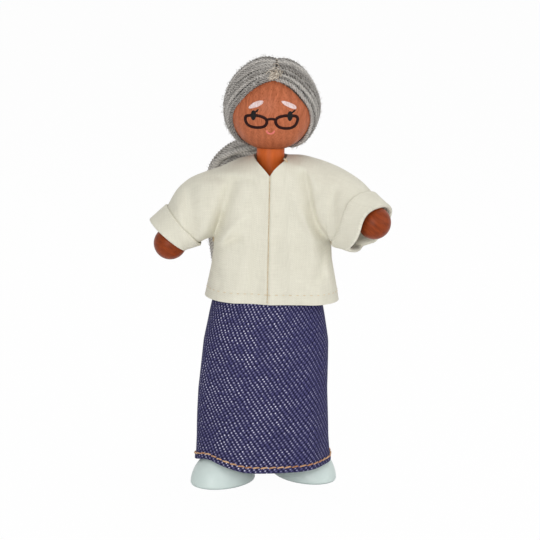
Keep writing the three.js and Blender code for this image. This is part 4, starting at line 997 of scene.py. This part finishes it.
def half_columns(side, front):
    """The flat points (across, up) of the upper and the lower half, in columns from the middle out."""
    cut = CUTS[side]
    shoulder, sleeve_top = smooth_line(cut["top"][:3], 60), smooth_line(cut["top"][2:], 60)
    tops = [(a, neckline(side, a, front)) for a in NECK_STEPS]
    tops += [along(shoulder, math.sin(math.pi / 2 * i / SHOULDER_STEPS)) for i in range(SHOULDER_STEPS)]
    body = len(tops)
    arm_top, armpit = cut["top"][2][0], cut["underarm"][0]
    drop = armpit[1] - ARMPIT_LEVEL_CENTRE
    feet = [(a / arm_top * armpit[0], ARMPIT_LEVEL_CENTRE + drop * (a / arm_top) ** 2) for a, _ in tops]
    for i in range(SLEEVE_STEPS + 1):
        tops.append(along(sleeve_top, i / SLEEVE_STEPS))
        feet.append(along(cut["underarm"], (i / SLEEVE_STEPS) ** 1.2))
    for i in range(1, CUFF_STEPS + 1):
        tops.append(along([cut["top"][-1], cut["opening"][0]], i / CUFF_STEPS))
        feet.append(along([cut["underarm"][-1], cut["opening"][1]], i / CUFF_STEPS))
    upper = []
    for i, (top, foot) in enumerate(zip(tops, feet)):
        bow = cut["bow"] * front * min(1.0, max(0, i - body) / SLEEVE_STEPS) ** 2
        upper.append([np.array(top) * (1 - s) + np.array(foot) * s + (bow * math.sin(math.pi * s ** 1.5), 0)
                      for s in (1 - np.cos(np.pi * np.linspace(0, 1, UPPER_ROWS))) / 2])
    flank = np.array(cut["flank"])[::-1]
    lower = []
    for i in range(body + 1):
        share = feet[i][0] / armpit[0]
        hem = BLOUSE_HEM + cut["hem_lift"] * share ** 2
        stops = [feet[i][1], hem + 3.4, hem + 2.6, hem]
        heights = np.interp(np.linspace(0, 1, LOWER_ROWS), [0, 0.7, 0.86, 1], stops)
        lower.append([np.array((share * np.interp(z, flank[:, 1], flank[:, 0]), z)) for z in heights])
    return upper, lower, body


def folds(x, z):
    """Soft folds of the blouse seen from in front: pulled ones at the armpits, a crease at the shoulder."""
    depth = 0.0
    for *ends, width, deep in FOLDS:
        a, b = np.array(ends[:2]), np.array(ends[2:])
        way = b - a
        t = np.clip(((x - a[0]) * way[0] + (z - a[1]) * way[1]) / (way @ way), 0, 1)
        off = np.hypot(x - a[0] - t * way[0], z - a[1] - t * way[1])
        depth = depth + deep * np.exp(-((off / width) ** 2)) * (1 - 0.45 * t)
    return depth + 0.3 * np.sin(x * 0.47 + 1.2) * np.clip((70 - z) / 14, 0, 1)


def belly(side, flat, depth, front):
    """Depth at each flat point, with the neck cleared, the folds laid in, and the front seam pulled tight."""
    across, up = flat[:, 0], flat[:, 1]
    depth = np.where(depth > 0, (np.maximum(depth, 1e-6) ** -3 + BLOUSE_DEPTH ** -3) ** (-1 / 3), 0)
    seam = np.clip(depth / SEAM_REACH, 0, 1) * FOLD_STRENGTH
    x = SIGNS[side] * across
    if front:
        depth = depth + seam * folds(x, up)
    else:
        depth = depth + seam * (0.8 * folds(-x, up) + 0.3 * np.sin(x * 0.33) * np.clip((78 - up) / 20, 0, 1))
    collar = NECK_CORNER - 0.05 + np.clip(100.4 - up, 0, 9) * (0.5 if front else 0.3)
    ring = np.sqrt(np.maximum(0, collar ** 2 - across ** 2))
    near = np.clip((up - 90) / 4, 0, 1)
    depth = np.where(ring * near > 0, (np.abs(depth) ** 6 + (ring * near) ** 6) ** (1 / 6), depth)
    if front:
        depth = depth - 0.3 * np.exp(-((across / 0.3) ** 2)) + 0.16 * np.exp(-(((across - 0.75) / 0.4) ** 2))
    depth = depth - seam * 0.12 * np.exp(-(((up - BLOUSE_HEM - 3.0) / 0.35) ** 2))
    return np.maximum(depth, 0)


def ease(share):
    """A smooth start and end for a share from 0 to 1."""
    share = np.clip(share, 0, 1)
    return share ** 2 * (3 - 2 * share)


def swung(side, across, up, y):
    """Bends a flat sleeve forward at the shoulder and the elbow, and gives x and y; the body stays."""
    steps = np.linspace(0, 46, 461)
    turns = zip(np.radians(CUTS[side]["forward"]), SLEEVE_BENDS)
    heading = sum(turn * ease((steps - start) / length) for turn, (start, length) in turns)
    run, ahead = (np.r_[0, np.cumsum(part(heading[:-1]) * 0.1)] for part in (np.cos, np.sin))
    here = np.interp(across, steps, heading)
    armpit = CUTS[side]["underarm"][0]
    out, above = across - armpit[0], up - armpit[1]
    goes = np.maximum(ease((above + 7) / 15), ease(out / 4) * ease((above + 3.5) / 3.5))
    x = across + (np.interp(across, steps, run) + y * np.sin(here) - across) * goes
    return SIGNS[side] * x, y + (y * np.cos(here) - np.interp(across, steps, ahead) - y) * goes


# Plain weave from a UV map in millimetres: warp over weft, thick and thin threads, and a few slubs.
PLAIN_WEAVE, given = new_group("plain_weave", "Shader", {
    "Place": "Vector", "Threads per mm": 3.2, "Light": "Color", "Dark": "Color"}, PATTERN)
parts = separate(given["Place"].vector("SCALE", given["Threads per mm"]))
lines = (parts["X"], parts["Y"], parts["X"] + parts["Y"])
warp, weft, cross = ((line * math.pi).done("SINE") for line in lines)
threads = mix(cross * 0.5 + 0.5, warp.done("ABSOLUTE"), weft.done("ABSOLUTE"))
slub = noise(stretched(given["Place"], (3.0, 0.25, 1.0)), 1.0, 3.0)
slub_across = noise(stretched(given["Place"], (0.25, 3.0, 1.0)), 1.0, 3.0)
shade = threads * 0.26 + slub * 0.3 + slub_across * 0.3 + noise(given["Place"], 0.16, 2.0) * 0.2
add_node(PLAIN_WEAVE, "NodeGroupOutput", {
    "Color": mix(ramp(shade, (0.32, 0.0), (0.78, 1.0)), given["Dark"], given["Light"]),
    "Roughness": 0.95 - threads * 0.12, "Height": threads + slub * 0.8})


def on_cloth(tree):
    return {"Place": add_node(tree, "ShaderNodeUVMap", uv_map="cloth")}


CREAM_LAWN = patterned(
    "cream_lawn", PLAIN_WEAVE, on_cloth, {"Light": (233, 230, 214), "Dark": (208, 204, 187)}, (0.35, 0.08),
    Specular_IOR_Level=0.18, Sheen_Weight=0.12, Sheen_Roughness=0.5)

# The cloth is one grid of quads, doubled only where it is turned back into a cuff. Every half has a
# front and a back, and the two share their corners wherever they are sewn together.
cloth_points, cloth_flat, cloth_faces = [], [], []
seam_lines, cuff_edges = {}, {}


def add_face(corners, side, front):
    cloth_faces.append(corners[::-1] if (SIGNS[side] > 0) == front else corners)


def sew_half(side, front):
    """Adds one quarter of the blouse to the cloth: a front or a back, with its sleeve and its turned cuff."""
    upper, lower, body = half_columns(side, front)
    flat = np.concatenate([*upper, *(column[1:] for column in lower)])
    columns = len(upper)
    lower_start = columns * UPPER_ROWS

    def spot(i, j):
        return i * UPPER_ROWS + j

    def low_spot(i, j):
        return spot(i, UPPER_ROWS - 1) if j == 0 else lower_start + i * (LOWER_ROWS - 1) + j - 1

    quads = [(at(i, j), at(i + 1, j), at(i + 1, j + 1), at(i, j + 1))
             for at, wide, rows in ((spot, columns - 1, UPPER_ROWS), (low_spot, body, LOWER_ROWS))
             for i in range(wide) for j in range(rows - 1)]
    sewn = np.zeros(len(flat), bool)
    sewn[[spot(i, 0) for i in range(len(NECK_STEPS), columns)]] = True
    sewn[[spot(i, UPPER_ROWS - 1) for i in range(body, columns)]] = True
    sewn[[low_spot(body, j) for j in range(LOWER_ROWS)]] = True
    depth = belly(side, flat, filled_out(flat, quads, sewn), front)
    depth[sewn] = 0
    x, y = swung(side, flat[:, 0], flat[:, 1], depth * (-1 if front else 1))
    placed = np.c_[x, y, flat[:, 1]]
    fall = np.zeros(len(flat))
    for i in range(columns):
        ids = [spot(i, j) for j in range(UPPER_ROWS)]
        if i <= body:
            ids += [low_spot(i, j) for j in range(1, LOWER_ROWS)]
        fall[ids] = flat[ids[0], 1] - runs_along(placed[ids])
    first = len(cloth_points)
    cloth_points.extend(placed)
    cloth_flat.extend(np.c_[flat[:, 0] * SIGNS[side], fall])
    for quad in quads:
        add_face([first + v for v in quad], side, front)
    half = (side, "front" if front else "back")
    seam_lines[half] = {name: [first + v for v in ids] for name, ids in {
        "centre": [spot(0, j) for j in range(UPPER_ROWS)] + [low_spot(0, j) for j in range(1, LOWER_ROWS)],
        "hem": [low_spot(i, HEM_SEWN_ROW) for i in range(body + 1)],
        "neck": [spot(i, 0) for i in range(len(NECK_STEPS))],
        "flank": [low_spot(body, j) for j in range(LOWER_ROWS)],
    }.items()}
    cuff_edges[half] = [[first + spot(i, j) for j in range(UPPER_ROWS)]
                        for i in range(columns - 1 - CUFF_STEPS, columns)]


for side in SIGNS:
    for front in (True, False):
        sew_half(side, front)

# The two centre lines are one seam, so each pair of points there is brought to its middle.
for which in ("front", "back"):
    for a, b in zip(*(seam_lines[side, which]["centre"] for side in SIGNS)):
        gap = (cloth_points[b][1] - cloth_points[a][1]) / 2
        cloth_points[a] = cloth_points[a] + (0, gap, 0)
        cloth_points[b] = cloth_points[b] - (0, gap, 0)


def crossed(points, quads):
    """The normal of each quad, twice as long as the quad is large."""
    corner = points[quads]
    return np.cross(corner[:, 2] - corner[:, 0], corner[:, 3] - corner[:, 1])


def as_cloth(points, quads):
    """The grid of a cloth as arrays: its points, quads, normals, and the first point in each one's place."""
    points, quads = np.array(points), np.array(quads)
    first = {}
    same = np.array([first.setdefault(tuple(np.round(p, 4)), i) for i, p in enumerate(points)])
    normals = np.zeros_like(points)
    for k in range(4):
        np.add.at(normals, same[quads[:, k]], crossed(points, quads))
    normals = normals[same]
    return points, quads, normals / np.maximum(np.linalg.norm(normals, axis=1, keepdims=True), 1e-9), same


# The cuff: the end of each sleeve is folded back on itself. The outer turn stands a little off.
grid, quads, normals, same = as_cloth(cloth_points, cloth_faces)
CUFF_TURN = [(CUFF_STEPS, 0.2, 0.3), (CUFF_STEPS, 0.46, 0.2)]
CUFF_TURN += [(k, CUFF_STANDS_OFF, 0.0) for k in range(CUFF_STEPS, 0, -1)]
CUFF_TURN += [(0, CUFF_STANDS_OFF, -0.35), (0, 0.26, -0.4)]
for (side, which), rows in cuff_edges.items():
    previous = rows[-1]
    for k, off, out in CUFF_TURN:
        ids, nearer = rows[k], rows[max(0, k - 1)]
        way = grid[ids] - grid[nearer] if k else grid[rows[1]] - grid[ids]
        way /= np.linalg.norm(way, axis=1, keepdims=True)
        new = list(range(len(cloth_points), len(cloth_points) + UPPER_ROWS))
        cloth_points.extend(grid[ids] + normals[ids] * off + way * out)
        cloth_flat.extend(np.array(cloth_flat)[ids] + CUFF_CLOTH_SHIFT)
        for j in range(UPPER_ROWS - 1):
            add_face([previous[j], new[j], new[j + 1], previous[j + 1]], side, which == "front")
        previous = new
cloth_flat = np.array(cloth_flat)
grid, quads, normals, same = as_cloth(cloth_points, cloth_faces)


def cloth_piece(name, cloth, flat, chosen, material, thickness, bodies, nodes):
    """A closed sheet: some faces of a cloth and their copy set inward by its thickness, joined round every
    free edge. Its pattern lies along the flat places."""
    points, quads, normals, same = cloth
    faces = quads[chosen]
    used = sorted(set(int(same[v]) for face in faces for v in face))
    number = {v: k for k, v in enumerate(used)}
    count = len(used)
    loops, face_flat, face_normals, sides = [], [], [], {}
    for face in faces:
        ids = [number[int(same[v])] for v in face]
        if len(set(ids)) < 3:
            continue
        kept = [k for k in range(4) if ids[k] != ids[k - 1]]
        ids, source = [ids[k] for k in kept], [face[k] for k in kept]
        loops += [ids, [v + count for v in ids[::-1]]]
        face_flat += [flat[v] for v in source + source[::-1]]
        face_normals += [normals[v] for v in source] + [-normals[v] for v in source[::-1]]
        for k in range(len(ids)):
            edge = (ids[k - 1], ids[k])
            if edge[::-1] in sides:
                del sides[edge[::-1]]
            else:
                sides[edge] = (source[k - 1], source[k])
    for (a, b), (va, vb) in sides.items():
        loops.append([b, a, a + count, b + count])
        across = np.cross(points[vb] - points[va], normals[va])
        face_flat += [flat[vb], flat[va], flat[va], flat[vb]]
        face_normals += [across / max(np.linalg.norm(across), 1e-9)] * 4
    mesh = bpy.data.meshes.new(name)
    both = np.r_[points[used], points[used] - normals[used] * thickness]
    mesh.from_pydata([tuple(p) for p in metres(both)], [], loops)
    layer = mesh.uv_layers.new(name="cloth")
    layer.data.foreach_set("uv", np.array(face_flat, np.float32).ravel())
    mesh.shade_smooth()
    mesh.normals_split_custom_set([tuple(n) for n in face_normals])
    mesh.materials.append(material)
    piece = fit(set_down(name, mesh), bodies, nodes)
    area = np.linalg.norm(crossed(points, faces), axis=1).sum() / 2e6


# The cloth of each side is divided into the half and the sleeve's end, where it lies wholly beyond the bend
# at the shoulder.
ARM_WAYS = {"right": np.array((-0.966, 0, 0.259)), "left": np.array((0.93, -0.25, 0.26))}
BEND_STARTS, BEND_ENDS, NEXT_STARTS, NEXT_ENDS = 29, 41, 42, 48
SLEEVE_JOINTS = {}
for side in SIGNS:
    way = ARM_WAYS[side] / np.linalg.norm(ARM_WAYS[side])
    ways = [Vector(metres(way * run)[0]) for run in (BEND_STARTS, BEND_ENDS, NEXT_STARTS, NEXT_ENDS)]
    upper_arm = f"upper_arm_{side}"
    SLEEVE_JOINTS[side] = way, ("torso", upper_arm, *ways[:2]), (upper_arm, f"forearm_{side}", *ways[2:])
    own = SIGNS[side] * grid[quads][:, :, 0].mean(axis=1) > 0
    beyond = (grid @ way)[quads].min(axis=1) >= BEND_ENDS
    for zone, chosen, bodies, nodes, cut_size in (
        ("half", own & ~beyond, SLEEVE_JOINTS[side][1],
         [f"blouse_front_{side}", "blouse_back", f"{side}_sleeve"], (0.086, 0.046)),
        ("sleeve", own & beyond, SLEEVE_JOINTS[side][2], [f"{side}_cuff"], (0.062, 0.03)),
    ):
        cloth_piece(f"blouse_{side}_{zone}", (grid, quads, normals, same), cloth_flat, chosen, CREAM_LAWN,
                    CLOTH_THICKNESS, bodies, nodes)

# The sewing thread: tan, in a close row down the middle seam, in dashes along the hem and round each
# cuff, and whipped over and over at the armpits and at the neck where the blouse is pulled most.
SEAM_THREAD = yarn_finish("seam_thread", (238, 222, 192), (204, 180, 142), 6.0)
BOW = np.linspace(-0.5, 0.5, 7)


def spread(points, outward, pitch, start):
    """Places at even steps along a seam: the spot, the way out of the cloth there, and the way along."""
    runs = runs_along(points)
    places = []
    for run in np.arange(start, runs[-1] - 0.4, pitch):
        spot, out = at_run(run, runs, points), at_run(run, runs, outward)
        ahead = at_run(run + 0.3, runs, points)
        places.append((spot, out / np.linalg.norm(out), (ahead - spot) / np.linalg.norm(ahead - spot)))
    return places


def stitch(spot, out, way, length, slant=0.0, proud=0.15):
    """One stitch: a short bow of thread that comes up through the cloth and goes down again."""
    aside = np.cross(way, out) * slant
    return [spot + way * length * t + aside * t + out * (proud - 0.45 * abs(2 * t) ** 3) for t in BOW]


sewing_rows = []
centre = seam_lines["right", "front"]["centre"]
for place in spread(grid[centre], normals[centre], 1.0, 0.7):
    sewing_rows.append(stitch(*place, 1.05, lay_by.uniform(-0.12, 0.12), 0.2))
for half, lines in seam_lines.items():
    hem, cuff = lines["hem"], cuff_edges[half][2]
    for line, outward, pitch, start, length, proud in (
        (grid[hem], normals[hem], 2.1, 0.8, 0.95, 0.09),
        (grid[cuff] + normals[cuff] * CUFF_STANDS_OFF, normals[cuff], 1.7, 0.6, 0.9, 0.24),
    ):
        for place in spread(line, outward, pitch, start):
            sewing_rows.append(stitch(*place, length, lay_by.uniform(-0.1, 0.1), proud))
for side, sign in SIGNS.items():
    armpit = seam_lines[side, "front"]["flank"][:3]
    for spot, out, way in spread(grid[armpit], normals[armpit], 0.3, 0.0):
        sewing_rows.append(stitch(spot - (0, 0.35, 0), out, np.array((sign, -0.4, 0.2)), 0.8, 0.3, 0.2))
knot = grid[seam_lines["left", "front"]["neck"][-1]] + (0.3, -0.5, 0.2)
for k in range(7):
    way = np.array((lay_by.uniform(-1, 1), lay_by.uniform(-0.5, 0.2), lay_by.uniform(-1, 1)))
    sewing_rows.append([knot + way * t + np.array((0, -0.3, 0.25)) * math.sin(3 * t)
                        for t in np.linspace(-0.6, 0.6, 7)])
for side, (way, *joints) in SLEEVE_JOINTS.items():
    own = [row for row in sewing_rows if (row[3][0] > 0) == (side == "left")]
    for zone, beyond, bodies in (("half", False, joints[0]), ("cuff", True, joints[1])):
        chosen = [row for row in own if (row[3] @ way >= BEND_ENDS) == beyond]
        sewn = plied(f"{side}_{zone}_stitches", chosen, SEAM_THREAD, diameter=0.24, plies=2, twist=0.9,
                     step=0.16, sides=6, seed=4)
        fit(sewn, bodies)

# The skirt: one tube of navy denim, gathered on its elastic under the blouse and hanging in soft folds.
# The hem is turned up once and topstitched with orange thread, and rides up where it lies on the shoes.
SKIRT_TOP = box_mm("skirt")[1][2]
HEM_HANGS_AT, HEM_STITCHED_AT, HEM_TURNED_AT = 5.2, 1.75, 2.1
HEM_STEEPEST = 0.23  # the sewn hem is too stiff to drop off a shoe more steeply than this
DENIM_THICKNESS, FOLDS_ROUND, SPLIT_LEVEL = 0.5, 7, 39
ROUND_STEPS, DOWN_STEPS, HEM_ROWS, WIDE_ROW = 240, 92, 22, -30
elastic_low, elastic_high = (np.array(c) * 1000 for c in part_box("waist_elastic"))
waist_half = (elastic_high - elastic_low)[:2] / 2 + DENIM_THICKNESS + 0.35
SKIRT_SHAPE = smooth_line([(*waist_half, 0), (*(waist_half + 0.3), 0.06), (16.6, 10, 0.16), (17.8, 11, 0.32),
                           (18.9, 12.4, 0.58), (19.9, 14, 0.82), (20.3, 15, 1)], 200)
LEAN_LEVELS = (0.15, 0.37, 0.62, 0.87, 1)
LEANS = ((0, 1.3, 1.25, 0.4, 0.3), (-0.3, 0.45, -0.6, -0.9, -0.6))  # out to the right and to the left there
UPPER_CUT, LOWER_CUT = (0.114, 0.029), (0.118, 0.036)

# Denim from a UV map in millimetres: navy warp in slanting cords, with a pale fleck of weft in each step.
# The flecks are palest a little to one side of the front and dimmer round the sides: painted light, for the
# light that falls off round the skirt.
DENIM_TWILL, given = new_group("denim_twill", "Shader", {
    "Place": "Vector", "Cord Spacing": 1.24, "Fleck Spacing": 0.8, "Slant": 0.61, "Rubbed At": 52.0,
    "Warp": "Color", "Shadow": "Color", "Weft": "Color"}, PATTERN)
drift = noise(given["Place"], 0.28, 1.0)["Color"].vector("SUBTRACT", (0.5, 0.5, 0.5)).vector("SCALE", 0.6)
parts = separate(given["Place"].vector("ADD", drift))
cosine, sine = given["Slant"].done("COSINE"), given["Slant"].done("SINE")
cord = (parts["X"] * cosine + parts["Y"] * sine) / given["Cord Spacing"]
row = cord.done("FLOOR")
step = (parts["Y"] * cosine - parts["X"] * sine) / given["Fleck Spacing"] + row * -0.2
cell = add_node(DENIM_TWILL, "ShaderNodeCombineXYZ", {"X": row, "Y": step.done("FLOOR")})
chance = add_node(DENIM_TWILL, "ShaderNodeTexWhiteNoise", {"Vector": cell}, noise_dimensions="2D")
off_cord = cord.done("FRACT") - 0.5
off_step = step.done("FRACT") - 0.5 + (chance - 0.5) * 0.26
wide, long = (off_cord * 5.0).done("POWER", 2.0), (off_step * 3.4).done("POWER", 2.0)
fleck = ramp(wide + long, (0.1, 1.0), (1.0, 0.0))
lit = ramp(noise(given["Place"], 0.18, 3.0), (0.36, 0.36), (0.6, 1.0)) * ramp(chance, (0.0, 0.1), (0.8, 1.0))
# Painted light: the flecks dim away from one place round the skirt, as the light falls off towards its sides.
sole_band_and_painted_side_light = ramp((parts["X"] - given["Rubbed At"]).done("ABSOLUTE") / 40.0, (0.2, 1.0), (0.62, 0.3))
fleck = fleck * (lit * sole_band_and_painted_side_light)
ridge = (cord * math.pi).done("SINE").done("ABSOLUTE")
hump = (off_step * math.pi).done("COSINE").done("ABSOLUTE")
fibre = noise(given["Place"], 2.2, 3.0)
base = ramp(ridge * 0.35 + fibre * 0.6 + hump * 0.3, (0.42, 0.0), (0.9, 1.0))
add_node(DENIM_TWILL, "NodeGroupOutput", {
    "Color": mix(fleck, mix(base, given["Shadow"], given["Warp"]), given["Weft"]),
    "Roughness": 0.92 - fleck * 0.15, "Height": ridge + fibre * 0.5})
NAVY_DENIM = patterned(
    "navy_denim", DENIM_TWILL, on_cloth,
    {"Warp": (74, 72, 116), "Shadow": (8, 7, 30), "Weft": (242, 240, 255)}, (0.4, 0.1),
    Specular_IOR_Level=0.1, Sheen_Weight=0.03, Sheen_Roughness=0.5)


def dome_height(side, x, y):
    """How high a shoe stands under a place on the floor."""
    turn = -SIGNS[side] * SHOE_TOE_OUT
    x, y = x - ANKLES[side][0], y - ANKLES[side][1]
    u = (x * math.cos(turn) - y * math.sin(turn)) / SHOE_HALF_WIDTH
    v = x * math.sin(turn) + y * math.cos(turn)
    v = v / (SHOE_HALF_LENGTH * (1 + TOE_LONGER if v < 0 else 1 - TOE_LONGER))
    share = math.hypot(u, v)
    return SHOE_HEIGHT * math.sqrt(1 - share ** 2.5) if share < 1 else 0.0


def hem_height(x, y, angle):
    """The height of the hem at one place round the skirt: it hangs free, or lies over a shoe."""
    over = [dome_height(side, x * pull, y * pull) + 0.35 for side in ANKLES for pull in (1.0, 0.97)]
    return max(HEM_HANGS_AT + 1.4 * (1 - max(0.0, -math.sin(angle)) ** 8), *over)


def skirt_place(angle, share, lift=0.0):
    """A point of the skirt: the angle round it, and the share of the way down from the elastic to the hem."""
    half_width, half_depth = (np.interp(share, SKIRT_SHAPE[:, 2], SKIRT_SHAPE[:, k]) for k in (0, 1))
    wave_out = 0.6 * max(0.0, (share - 0.2) / 0.8) * math.cos(FOLDS_ROUND * angle + 0.9) + lift
    wave_out += 0.28 * math.cos(26 * angle + 3 * math.sin(3 * angle)) * max(0.0, 1 - share / 0.22)
    wave_out += 0.22 * math.sin(3 * angle + 5 * share) * math.sin(math.pi * share)
    c, s = math.cos(angle), math.sin(angle)
    leans = [np.interp(share, LEAN_LEVELS, lean) for lean in LEANS]
    half_width += (leans[0] * (1 - c) + leans[1] * (1 + c)) / 2
    reach = squared(c, s, 2.5 + 0.7 * share ** 2)
    return (half_width + wave_out) * c * reach, (half_depth + wave_out) * s * reach


angles = np.linspace(math.pi / 2, math.pi / 2 + 2 * math.pi, ROUND_STEPS + 1)
hem_ring = np.array([skirt_place(a, 1.0) for a in angles])
hems = np.array([hem_height(*spot, a) for spot, a in zip(hem_ring, angles)])
steps = np.linalg.norm(np.diff(hem_ring, axis=0), axis=1)
for _ in range(2):
    for i in range(ROUND_STEPS):
        hems[i + 1] = max(hems[i + 1], hems[i] - HEM_STEEPEST * steps[i])
    for i in reversed(range(ROUND_STEPS)):
        hems[i] = max(hems[i], hems[i + 1] - HEM_STEEPEST * steps[i])
    hems[0] = hems[-1] = max(hems[0], hems[-1])
rows = np.zeros((DOWN_STEPS, ROUND_STEPS + 1, 3))
drops = np.r_[np.linspace(0, 0.93, DOWN_STEPS - HEM_ROWS), np.linspace(0.933, 1, HEM_ROWS)]
for k, share in enumerate(drops):
    for i, angle in enumerate(angles):
        height = SKIRT_TOP + (hems[i] - SKIRT_TOP) * share
        above = height - hems[i]
        turned_up = 0.28 * np.clip((HEM_TURNED_AT - above) / 0.35, 0, 1)
        turned_up -= 0.2 * math.exp(-(((above - HEM_STITCHED_AT) / 0.22) ** 2))
        turned_up -= 0.3 * np.clip((0.35 - above) / 0.35, 0, 1) ** 2
        rows[k, i] = (*skirt_place(angle, share, turned_up), height)
down_runs = np.zeros(rows.shape[:2])
down_runs[1:] = np.cumsum(np.linalg.norm(np.diff(rows, axis=0), axis=2), axis=0)
round_runs = np.broadcast_to(runs_along(rows[WIDE_ROW]), rows.shape[:2])
skirt_flat = np.stack([round_runs, -down_runs], axis=2).reshape(-1, 2)
stride = ROUND_STEPS + 1
skirt = as_cloth(rows.reshape(-1, 3), [
    (start + i, start + stride + i, start + stride + i + 1, start + i + 1)
    for start in range(0, (DOWN_STEPS - 1) * stride, stride) for i in range(ROUND_STEPS)])
upper = skirt[0][skirt[1]][:, :, 2].min(axis=1) >= SPLIT_LEVEL
THIGH_BENDS = ("torso", "thigh_right", *(Vector(metres((0, 0, z))[0]) for z in (57, 41)))
KNEE_BENDS = ("thigh_right", "shin_right", *(Vector(metres((0, 0, z))[0]) for z in (36.5, 17)))
for name, chosen, bodies, cut_size in (
    ("skirt_upper", upper, THIGH_BENDS, UPPER_CUT), ("skirt_lower", ~upper, KNEE_BENDS, LOWER_CUT),
):
    cloth_piece(name, skirt, skirt_flat, chosen, NAVY_DENIM, DENIM_THICKNESS, bodies, ["skirt"])

# The topstitch: one row of heavy orange thread round the hem, in stitches that sink in at both ends.
ORANGE_THREAD = yarn_finish("orange_thread", (252, 210, 164), (172, 100, 60), 6.0)
STITCH_GAP = 0.3
stitch_row = DOWN_STEPS - 1 - int(round(HEM_STITCHED_AT / (0.067 * (SKIRT_TOP - 7)) * (HEM_ROWS - 1)))
outward = skirt[2].reshape(rows.shape)[stitch_row]
line = rows[stitch_row] + outward * 0.05
runs = runs_along(line)
stitches = []
place = 0.4
while place < runs[-1] - 2:
    length = lay_by.uniform(1.7, 2.3)
    points = []
    for t in np.linspace(0, 1, 9):
        rise = 0.5 * min(1.0, 4 * t, 4 * (1 - t)) - 0.26
        spot, out = (at_run(place + length * t, runs, held) for held in (line, outward))
        points.append(spot + out * rise + (0, 0, 0.3 * (t - 0.5)))
    stitches.append(points)
    place += length + STITCH_GAP
fit(plied("skirt_topstitch", stitches, ORANGE_THREAD, diameter=0.44, twist=1.3, step=0.12, sides=7, seed=9),
    KNEE_BENDS, ["skirt"])
